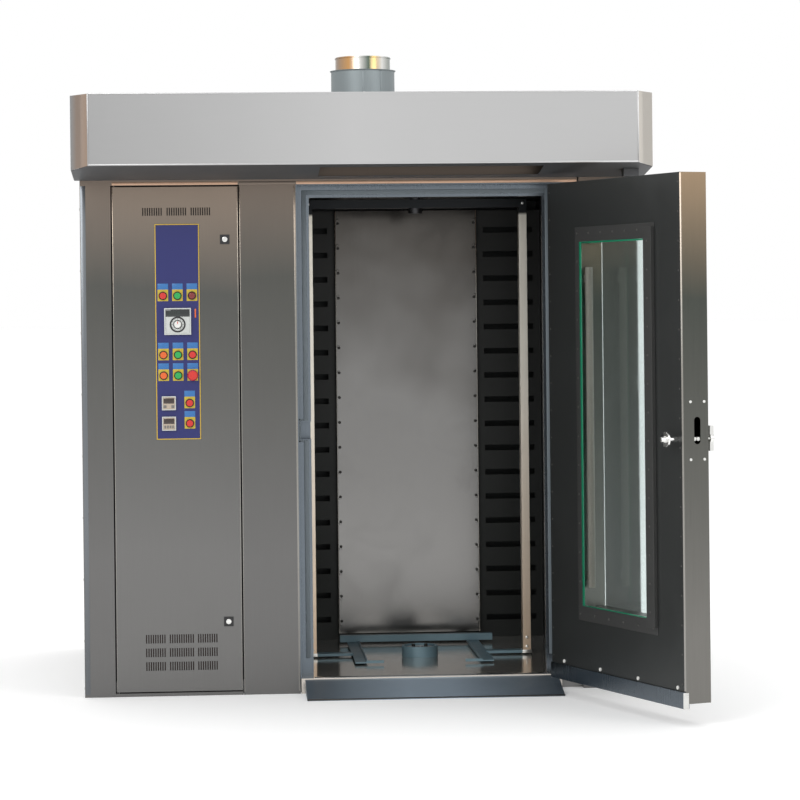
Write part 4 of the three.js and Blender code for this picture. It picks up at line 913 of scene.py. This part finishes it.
class OVEN_OT_front(bpy.types.Operator):
    """Dress the front: covers under the hood, painted highlights and reflections along the folded edges beside
    the seams, and dark screens behind the vents that paint the shade seen through them
    """

    bl_idname = "oven.front"
    bl_label = "Front panels"

    def execute(self, context):
        door_low, door_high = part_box("service_door")
        panel_low, panel_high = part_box("centre_front_panel")
        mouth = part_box("door_frame")[1].x
        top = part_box("hood_soffit")[0].z - 0.0006
        proud, seam = FRONT - 0.0016, 0.0025
        # Covers over the head rails, in the rail sheet's painted reflection
        rails = [((left, proud, panel_high.z + 0.0015), (right, FRONT, top))
                 for left, right in ((door_low.x, door_high.x), (panel_high.x + seam, mouth - seam))]
        lay_blocks("rail_covers", rails, "rail_sheet", SHELL_STEEL, edge=0.0006)
        cover = ((panel_low.x, proud, panel_high.z + 0.0004), (panel_high.x, FRONT, top))
        lay_blocks("centre_cover", [cover], "frame_sheet", SHELL_STEEL, edge=0.0006)

        # Thin strips of painted highlight beside the seams, and a painted reflection on the left corner
        inset, narrow, wide, corner = 0.0005, 0.0026, 0.0065, 0.0175
        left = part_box("front_left_frame")[0].x
        for name, material, home, foot, head, strips in (
            ("service_door_fold_highlights", "fold_highlight_sheet", ("service_door", "stainless"), door_low.z + 0.004,
             door_high.z - 0.004, ((door_low.x + inset, narrow), (door_high.x - narrow - inset, narrow))),
            ("centre_panel_fold_highlights", "fold_highlight_sheet", SHELL_STEEL, 0.01, panel_high.z - 0.004,
             ((panel_low.x + inset, narrow), (panel_high.x - wide - inset, wide))),
            ("corner_reflection_strip", "corner_reflection_sheet", SHELL_STEEL, 0.01, panel_high.z, ((left + inset, corner),)),
        ):
            painted_strips = [((x, FRONT - 0.0008, foot), (x + width, FRONT + 0.0002, head)) for x, width in strips]
            lay_blocks(name, painted_strips, material, home, edge=0.0004)

        # Dark sheets behind the vents, painting the shade seen through them
        border = 0.07
        for name, material, foot, head in (("upper_vent_shade", "vent_shade_brown", 1.70, 1.762),
                                           ("lower_vent_shade", "vent_shade_red", 0.090, 0.245)):
            shade_sheet = ((door_low.x + border, FRONT + 0.0042, foot), (door_high.x - border, FRONT + 0.0054, head))
            lay_blocks(name, [shade_sheet], material, ("service_door", "dark_steel"), edge=0.0004)
        return {"FINISHED"}


class OVEN_OT_hood(bpy.types.Operator):
    """Dress the hood and flue: hems, folded seams, screws and the collar's seams"""

    bl_idname = "oven.hood"
    bl_label = "Hood and flue"

    def execute(self, context):
        low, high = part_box("hood_shell")
        half, foot = 0.962, 1.8885
        hem = ((-half, low.y - 0.0018, foot), (half, low.y + 0.012, foot + 0.006))
        top_hem = ((-half, low.y - 0.0014, high.z - 0.004), (half, low.y + 0.01, high.z + 0.0012))
        ends = [((x - 0.003, low.y - 0.0016, foot), (x + 0.003, low.y + 0.004, high.z + 0.0008))
                for x in (-half, half)]
        for name, boxes, edge in (("hood_hem", [hem], 0.0014), ("hood_top_hem", [top_hem], 0.0012),
                                  ("hood_end_folds", ends, 0.0014)):
            lay_blocks(name, boxes, "hood_sheet", SHELL_STEEL, edge=edge)
        spots = [(x, low.y + 0.02, high.z) for x in steps(-0.92, 0.92, 9)]
        spots += [(side * 1.012, y, high.z) for side in (-1, 1) for y in steps(-0.94, -0.48, 4)]
        lay_screws("hood_screws", spots, "screw_steel", SHELL_BRIGHT)

        low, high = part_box("flue_collar")
        centre = (low + high) / 2
        places = [on_circle(centre, math.radians(turn), 0.1155) for turn in (-92, -58, 30, 150)]
        seams = turned_blocks("seam", (-0.002, -0.004, low.z + 0.001), (0.002, 0.004, high.z - 0.006), places,
                              edge=0.0012)
        dress(join(seams, "collar_seams"), "galvanised", "cabinet", "blue_grey_paint")
        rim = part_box("flue_pipe")[1].z
        # The bead takes the pipe's painted reflections
        lay_rings("flue_bead", [(centre.x, centre.y, rim - 0.006)], (0.1025, 0.0995, 0.004), "polished_pipe",
                  ("cabinet", "polished_steel"), vertices=48, edge=0.001)
        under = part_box("hood_soffit")[0].z
        lay_blocks("hood_switch", [((0.938, -0.925, under), (0.972, -0.89, under + 0.012))], "black_plastic",
                   ("cabinet", "dark_plastic"), edge=0.002)
        return {"FINISHED"}


# -------------------------------------------------------------------------- chamber and rotor


class OVEN_OT_chamber(bpy.types.Operator):
    """Dress the chamber's mouth, the air panel and the rotor"""

    bl_idname = "oven.chamber"
    bl_label = "Chamber and rotor"

    def execute(self, context):
        self.seal(context.scene.oven_sizes.seal_width)
        self.air_panel()
        self.floor()
        self.rotor()
        low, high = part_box("entry_ramp")
        nose = rod("ramp_nose", "x", (low.y + 0.003, 0.0036), 0.0034, (low.x, high.x), vertices=16, edge=0.0008)
        dress(nose, "dark_screw", "cabinet", "blue_grey_paint")
        return {"FINISHED"}

    def seal(self, width):
        """The seal round the mouth, which steps out round the knob's pocket."""
        proud = 0.0034  # clears the liner's screws when the door is shut
        foot = 0.117  # above the door's sweep when it is shut
        gap, lip = 0.010, 0.007
        inner, right, top = MOUTH_LEFT - gap, MOUTH_RIGHT + gap, MOUTH_TOP + gap
        outer, head = inner - width, top + width
        below, above = LATCH_Z - KNOB_POCKET, LATCH_Z + KNOB_POCKET
        bypass_outer, bypass_inner = MOUTH_LEFT - 0.0455, MOUTH_LEFT - 0.0385
        runs = (
            (outer, foot, inner, below),
            (outer, above, inner, head),
            (bypass_outer, below - lip, bypass_inner, above + lip),
            (bypass_outer, below - lip, outer, below),
            (bypass_outer, above, outer, above + lip),
            (right, foot, right + width, head),
            (inner, top, right, head),
        )
        boxes = [((x0, DOOR_RECESS - proud, z0), (x1, DOOR_RECESS + 0.001, z1)) for x0, z0, x1, z1 in runs]
        lay_blocks("door_seal", boxes, "seal_silicone", ("cabinet", "dark_plastic"), edge=0.0024, segments=3)

    def air_panel(self):
        """Painted fold highlights and bolts down both sides of the air panel."""
        low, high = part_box("rear_air_panel")
        painted_strips = [((x, low.y + 0.0015, low.z), (x + 0.004, low.y + 0.02, high.z))
                 for x in (low.x, high.x - 0.004)]
        lay_blocks("air_panel_fold_highlights", painted_strips, "fold_highlight_sheet", SHELL_BRIGHT, edge=0.001)
        spots = [(x, low.y, z) for x in (low.x + 0.012, high.x - 0.012)
                 for z in steps(low.z + 0.05, high.z - 0.05, 17)]
        lay_screws("air_panel_bolts", spots, "dark_screw", SHELL_BRIGHT, TO_FRONT, radius=0.0055, height=0.004)

    def floor(self):
        """The sill at the mouth, and the hub's plate with its bolts."""
        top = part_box("chamber_floor")[1].z
        low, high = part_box("entry_ramp")
        sill = ((low.x + 0.035, FRONT + 0.001, top), (high.x - 0.035, FRONT + 0.04, top + 0.0012))
        lay_blocks("floor_sill", [sill], "sill_sheet", SHELL_STEEL, edge=0.0004)
        low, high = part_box("floor_hub")
        centre = (low + high) / 2
        lay_rings("hub_plate", [(centre.x, centre.y, low.z + 0.0203)], (0.052, 0.0135, 0.014), "sill_sheet",
                  SHELL_BRIGHT, vertices=48, edge=0.0008)
        spots = [(centre.x + side * 0.024, centre.y + 0.008, low.z + 0.0343) for side in (-1, 1)]
        lay_screws("hub_bolts", spots, "dark_screw", ("cabinet", "cast_iron"), radius=0.007, height=0.008)

    def rotor(self):
        """Bolts at the ends of the rotor's posts, and the feet under them."""
        low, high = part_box("rotor_frame")
        spots = [(x, low.y, z) for x in (low.x + 0.015, high.x - 0.015) for z in (high.z - 0.016, 0.085, 0.12)]
        lay_screws("rotor_bolts", spots, "screw_steel", ROTOR_BRIGHT, TO_FRONT, radius=0.0055, height=0.004)
        feet = [((x - 0.003, low.y - 0.004, 0.0595), (x + 0.033, high.y + 0.004, 0.072))
                for x in (low.x, high.x - 0.030)]
        lay_blocks("rotor_feet", feet, "screw_steel", ROTOR_BRIGHT, edge=0.0015)


# ---------------------------------------------------------------------------------- oven door


class OVEN_OT_oven_door(bpy.types.Operator):
    """Dress the oven door: window edges, screws, rollers and the sweep's ends"""

    bl_idname = "oven.oven_door"
    bl_label = "Oven door"

    def execute(self, context):
        free, hinge = PANE_LOW.x + TRIM_OVERLAP, PANE_HIGH.x - TRIM_OVERLAP
        self.window_edges(free, hinge, PANE_LOW.z + TRIM_OVERLAP, PANE_HIGH.z - TRIM_OVERLAP)
        self.screws(free)
        # A painted highlight along the door's free corner
        corner = ((FREE_EDGE - 0.0004, DOOR_INSIDE - 0.006, 0.118),
                  (FREE_EDGE + 0.0016, DOOR_INSIDE + 0.0006, DOOR_TOP - 0.002))
        lay_blocks("door_corner_fold_highlight", [corner], "fold_highlight_sheet", ("oven_door", "stainless"), DOOR_PLACE,
                   edge=0.0004)
        rollers = [rod("roller", "x", (y, LATCH_Z), 0.0066, (-0.9665, -0.9455), vertices=24, edge=0.0016)
                   for y in (0.0475, 0.0625)]
        dress(join(rollers, "latch_rollers", DOOR_PLACE), "white_nylon", "latch", "pale_plastic")
        ends = [((x, DOOR_INSIDE - 0.016, 0.058), (x + 0.003, DOOR_INSIDE + 0.0055, 0.112))
                for x in (FREE_EDGE - 0.0005, HINGE_EDGE - 0.0025)]
        lay_blocks("sweep_ends", ends, "screw_steel", ("oven_door", "dark_steel"), DOOR_PLACE, edge=0.001)
        return {"FINISHED"}

    def window_edges(self, free, hinge, foot, head):
        """The inner pane's green edges, and the glint along its free side."""
        back, face = DOOR_INSIDE + 0.0001, DOOR_INSIDE + 0.003
        wide, upper, lower = 0.014, 0.006, 0.004
        edges = [
            ((hinge - wide, back, foot), (hinge, face, head)),
            ((free, back, head - upper), (hinge - wide, face, head)),
            ((free, back, foot), (hinge - wide, face, foot + lower)),
        ]
        home = ("oven_door", "glass")
        lay_blocks("pane_edge", edges, "pane_edge_green", home, DOOR_PLACE, edge=0.0005)
        glint = ((free, back, foot + lower), (free + 0.012, face, head - upper))
        lay_blocks("pane_glint", [glint], "pane_glint", home, DOOR_PLACE, edge=0.0008)

    def screws(self, free):
        """Screws round the window, along the liner, above the sweep and beside the latch."""
        trim = DOOR_INSIDE + 0.0023
        channel = (TRIM_LOW.x + free) / 2
        last = TRIM_HIGH.x - 0.014
        window = [(x, trim, PANE_HIGH.z + 0.024) for x in steps(channel, last, 7)]
        window += [(x, trim, PANE_LOW.z - 0.024) for x in steps(channel, last, 6)]
        window += [(last, trim, z) for z in steps(0.42, 1.54, 12)]
        window += [(channel, TRIM_HIGH.y, z) for z in steps(0.36, 1.60, 14)]
        liner = [(x, DOOR_INSIDE, z) for x in (FREE_EDGE + 0.012, HINGE_EDGE - 0.014)
                 for z in steps(0.14, 1.79, 18)]
        sweep = [(x, DOOR_INSIDE, 0.126) for x in steps(-0.93, -0.14, 4)]
        latch = [(FREE_EDGE, y, z) for y in (0.029, 0.081) for z in (0.877, 1.067)]
        for name, spots, material, home, facing, radius, height in (
            ("window_screws", window, "dim_screw", DOOR_BRIGHT, TO_BACK, 0.0036, 0.0016),
            ("liner_screws", liner, "dim_screw", DOOR_BRIGHT, TO_BACK, 0.003, 0.0014),
            ("sweep_screws", sweep, "white_nylon", DOOR_PALE, TO_BACK, 0.0065, 0.004),
            ("latch_screws", latch, "white_nylon", DOOR_PALE, (-1, 0, 0), 0.0046, 0.0024),
        ):
            lay_screws(name, spots, material, home, facing, DOOR_PLACE, radius=radius, height=height)


# ------------------------------------------------------------------------ back, sides and roof


class OVEN_OT_shell(bpy.types.Operator):
    """Dress the sides, the back and the roof: seams, screws and the drives' ribs"""

    bl_idname = "oven.shell"
    bl_label = "Sides, back and roof"

    def execute(self, context):
        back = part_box("rear_panel")[1].y
        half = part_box("right_side_panel")[1].x
        seams = []
        for x0, x1 in ((-half - SEAM_PROUD, -half), (half, half + SEAM_PROUD)):
            seams += [((x0, y - SEAM_HALF, SEAM_FOOT), (x1, y + SEAM_HALF, SEAM_HEAD)) for y in (-0.25, 0.25)]
        seams += [((x - SEAM_HALF, back, SEAM_FOOT), (x + SEAM_HALF, back + SEAM_PROUD, SEAM_HEAD))
                  for x in (-0.336, 0.336)]
        lay_blocks("panel_seams", seams, "side_sheet", SHELL_STEEL, edge=0.0005)
        spots = [(x, back, z) for x in steps(-0.97, 0.97, 13) for z in SCREW_ROWS]
        spots += [(x, back, z) for x in (-0.97, 0.97) for z in steps(0.2, 1.75, 8)]
        lay_screws("back_screws", spots, "screw_steel", SHELL_BRIGHT, TO_BACK)
        for side, name in ((-1, "left_side_screws"), (1, "right_side_screws")):
            spots = [(side * half, y, z) for y in steps(-0.72, 0.72, 10) for z in SCREW_ROWS]
            spots += [(side * half, y, z) for y in (-0.72, 0.72) for z in steps(0.2, 1.75, 8)]
            lay_screws(name, spots, "screw_steel", SHELL_BRIGHT, (side, 0, 0))
        self.fan_drive()
        self.rotor_drive()
        return {"FINISHED"}

    def fan_drive(self):
        """Cooling ribs, cable box and bolts on the fan motor."""
        low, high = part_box("fan_motor")
        centre = (low + high) / 2
        count = 20
        places = [on_circle(centre, index * math.tau / count) for index in range(count)]
        ribs = turned_blocks("rib", (0.1035, -0.0015, low.z + 0.02), (0.118, 0.0015, high.z - 0.03), places,
                             edge=0.0006)
        ribs.append(block("cable_box", (centre.x - 0.045, centre.y - 0.16, low.z + 0.06),
                          (centre.x + 0.045, centre.y - 0.098, low.z + 0.15), edge=0.004))
        dress(join(ribs, "fan_motor_ribs"), "motor_blue", "cabinet", "motor_blue")
        spots = [(centre.x + 0.116 * math.cos(turn), centre.y + 0.116 * math.sin(turn), low.z + 0.014)
                 for turn in (math.radians(45 + 90 * corner) for corner in range(4))]
        lay_screws("fan_motor_bolts", spots, "screw_steel", SHELL_BRIGHT, radius=0.007, height=0.006)

    def rotor_drive(self):
        """Cooling ribs and bolts on the rotor's gear motor."""
        low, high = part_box("rotor_gearmotor")
        x = (low.x + high.x) / 2
        axis = Matrix.Translation((x, high.y - 0.115, low.z + 0.064))
        places = [axis @ Matrix.Rotation(-turn, 4, "Y")
                  for turn in steps(math.radians(-36), math.radians(216), 15)]
        ribs = turned_blocks("rib", (0.061, -0.105, -0.0012), (0.068, 0.085, 0.0012), places, edge=0.0005)
        dress(join(ribs, "gear_motor_ribs"), "motor_blue", "cabinet", "motor_blue")
        reach, box_y, lid = 0.088, -0.145, 1.95 + 0.11
        spots = [(x + dx, box_y + dy, lid) for dx in (-reach, reach) for dy in (-reach, reach)]
        lay_screws("gearbox_bolts", spots, "screw_steel", SHELL_BRIGHT, radius=0.007, height=0.005)


# --------------------------------------------------------------------------------------- stage

CAMERA_PLACE = (-0.53817, -10.83197, 1.38876)
CAMERA_YAW = math.radians(3.8318)
CAMERA_PITCH = math.radians(0.2115)
CAMERA_ROLL = math.radians(-0.6095)
CAMERA_FOCAL_PIXELS = 2801.2
CAMERA_SHIFT_PIXELS = -82.81
FRAME_PIXELS = 800
SENSOR_MM = 36

# Each lamp's place, side in metres and power in watts, and what they all point at
LAMPS = {
    "soft_key": ((-3.6, -6.5, 4.6), 3.2, 130),
    "soft_fill": ((4.6, -5.5, 3.4), 3.0, 65),
    "soft_top": ((0.5, 0.5, 6.0), 4.0, 90),
}
LAMP_TARGET = Vector((0, 0, 1.0))
FLOOR_LIFT = 0.17


def direct_rays(tree):
    """1 for what the camera sees, also in metal and through glass."""
    path = add(tree, "LightPath").outputs
    rays = math_node(tree, "MAXIMUM", path["Is Camera Ray"], path["Is Glossy Ray"])
    return math_node(tree, "MAXIMUM", rays, path["Is Transmission Ray"])


class OVEN_OT_stage(bpy.types.Operator):
    """Set the floor, the light and the camera"""

    bl_idname = "oven.stage"
    bl_label = "Stage"

    def execute(self, context):
        self.camera(context)
        self.floor(context)
        self.world(context)
        self.lamps()
        context.scene.view_settings.view_transform = "Standard"
        return {"FINISHED"}

    def camera(self, context):
        """The photo's camera."""
        level = math.cos(CAMERA_PITCH)
        ahead = Vector((math.sin(CAMERA_YAW) * level, math.cos(CAMERA_YAW) * level, -math.sin(CAMERA_PITCH)))
        across = Vector((math.cos(CAMERA_YAW), -math.sin(CAMERA_YAW), 0))
        upward = across.cross(ahead)
        right = across * math.cos(CAMERA_ROLL) + upward * math.sin(CAMERA_ROLL)
        top = upward * math.cos(CAMERA_ROLL) - across * math.sin(CAMERA_ROLL)
        data = bpy.data.cameras.new("photo_camera")
        data.sensor_width = SENSOR_MM
        data.sensor_fit = "HORIZONTAL"
        data.lens = SENSOR_MM * CAMERA_FOCAL_PIXELS / FRAME_PIXELS
        data.shift_y = CAMERA_SHIFT_PIXELS / FRAME_PIXELS
        data.clip_end = 600
        camera = bpy.data.objects.new("photo_camera", data)
        camera.rotation_euler = Matrix((right, top, -ahead)).transposed().to_euler()
        camera.location = CAMERA_PLACE
        context.collection.objects.link(camera)
        context.scene.camera = camera

    def floor(self, context):
        """A pale floor that keeps the oven's shadow."""
        deselect()
        bpy.ops.mesh.primitive_plane_add(size=400, location=(0, 0, 0))
        floor = context.object
        floor.name = "studio_floor"
        settle(floor)
        tree, shader = start_material("studio_floor")
        feed(tree, shader, Base_Color=rgba(context.scene.oven_colours.floor), Roughness=0.75,
             Emission_Strength=1.0, Emission_Color=math_node(tree, "MULTIPLY", direct_rays(tree), FLOOR_LIFT))
        floor.data.materials.append(MATERIALS["studio_floor"])

    def world(self, context):
        """Even light, with a white backdrop for direct rays."""
        world = bpy.data.worlds.new("studio_light")
        context.scene.world = world
        world.use_nodes = True
        tree = world.node_tree
        light = tree.nodes["Background"]
        feed(tree, light, Strength=0.9, Color=(1, 1, 1, 1))
        seen = add(tree, "Background", Strength=1.0, Color=(1, 1, 1, 1))
        mix = add(tree, "MixShader")
        fill(tree, mix.inputs, (direct_rays(tree), light.outputs[0], seen.outputs[0]))
        feed(tree, tree.nodes["World Output"], Surface=mix.outputs[0])

    def lamps(self):
        """Three soft lamps at a plain level."""
        for name, (place, size, power) in LAMPS.items():
            data = bpy.data.lights.new(name, "AREA")
            data.shape = "SQUARE"
            data.size = size
            data.energy = power
            lamp = bpy.data.objects.new(name, data)
            lamp.location = place
            lamp.rotation_euler = (LAMP_TARGET - Vector(place)).to_track_quat("-Z", "Y").to_euler()
            bpy.context.collection.objects.link(lamp)


# --------------------------------------------------------------------------------------- panel

OPERATORS = (
    OVEN_OT_stage, OVEN_OT_finishes, OVEN_OT_control_plate, OVEN_OT_service_door, OVEN_OT_front, OVEN_OT_hood,
    OVEN_OT_chamber, OVEN_OT_oven_door, OVEN_OT_shell,
)


class OVEN_PT_panel(bpy.types.Panel):
    """Lists the oven's sizes, colours and steps"""

    bl_idname = "OVEN_PT_panel"
    bl_label = "Rack oven"
    bl_space_type = "VIEW_3D"
    bl_region_type = "UI"
    bl_category = "Oven"

    def draw(self, context):
        for group in (context.scene.oven_sizes, context.scene.oven_colours):
            box = self.layout.box()
            for name in group.__annotations__:
                box.prop(group, name)
        for operator in OPERATORS:
            self.layout.operator(operator.bl_idname)


CLASSES = (OvenSizes, OvenColours, *OPERATORS, OVEN_PT_panel)


def register():
    for item in CLASSES:
        bpy.utils.register_class(item)
    bpy.types.Scene.oven_sizes = bpy.props.PointerProperty(type=OvenSizes)
    bpy.types.Scene.oven_colours = bpy.props.PointerProperty(type=OvenColours)


def unregister():
    del bpy.types.Scene.oven_colours
    del bpy.types.Scene.oven_sizes
    for item in reversed(CLASSES):
        bpy.utils.unregister_class(item)


def main():
    register()
    for operator in OPERATORS:
        group, name = operator.bl_idname.split(".")
        getattr(getattr(bpy.ops, group), name)()
    deselect()


if __name__ == "__main__":
    main()
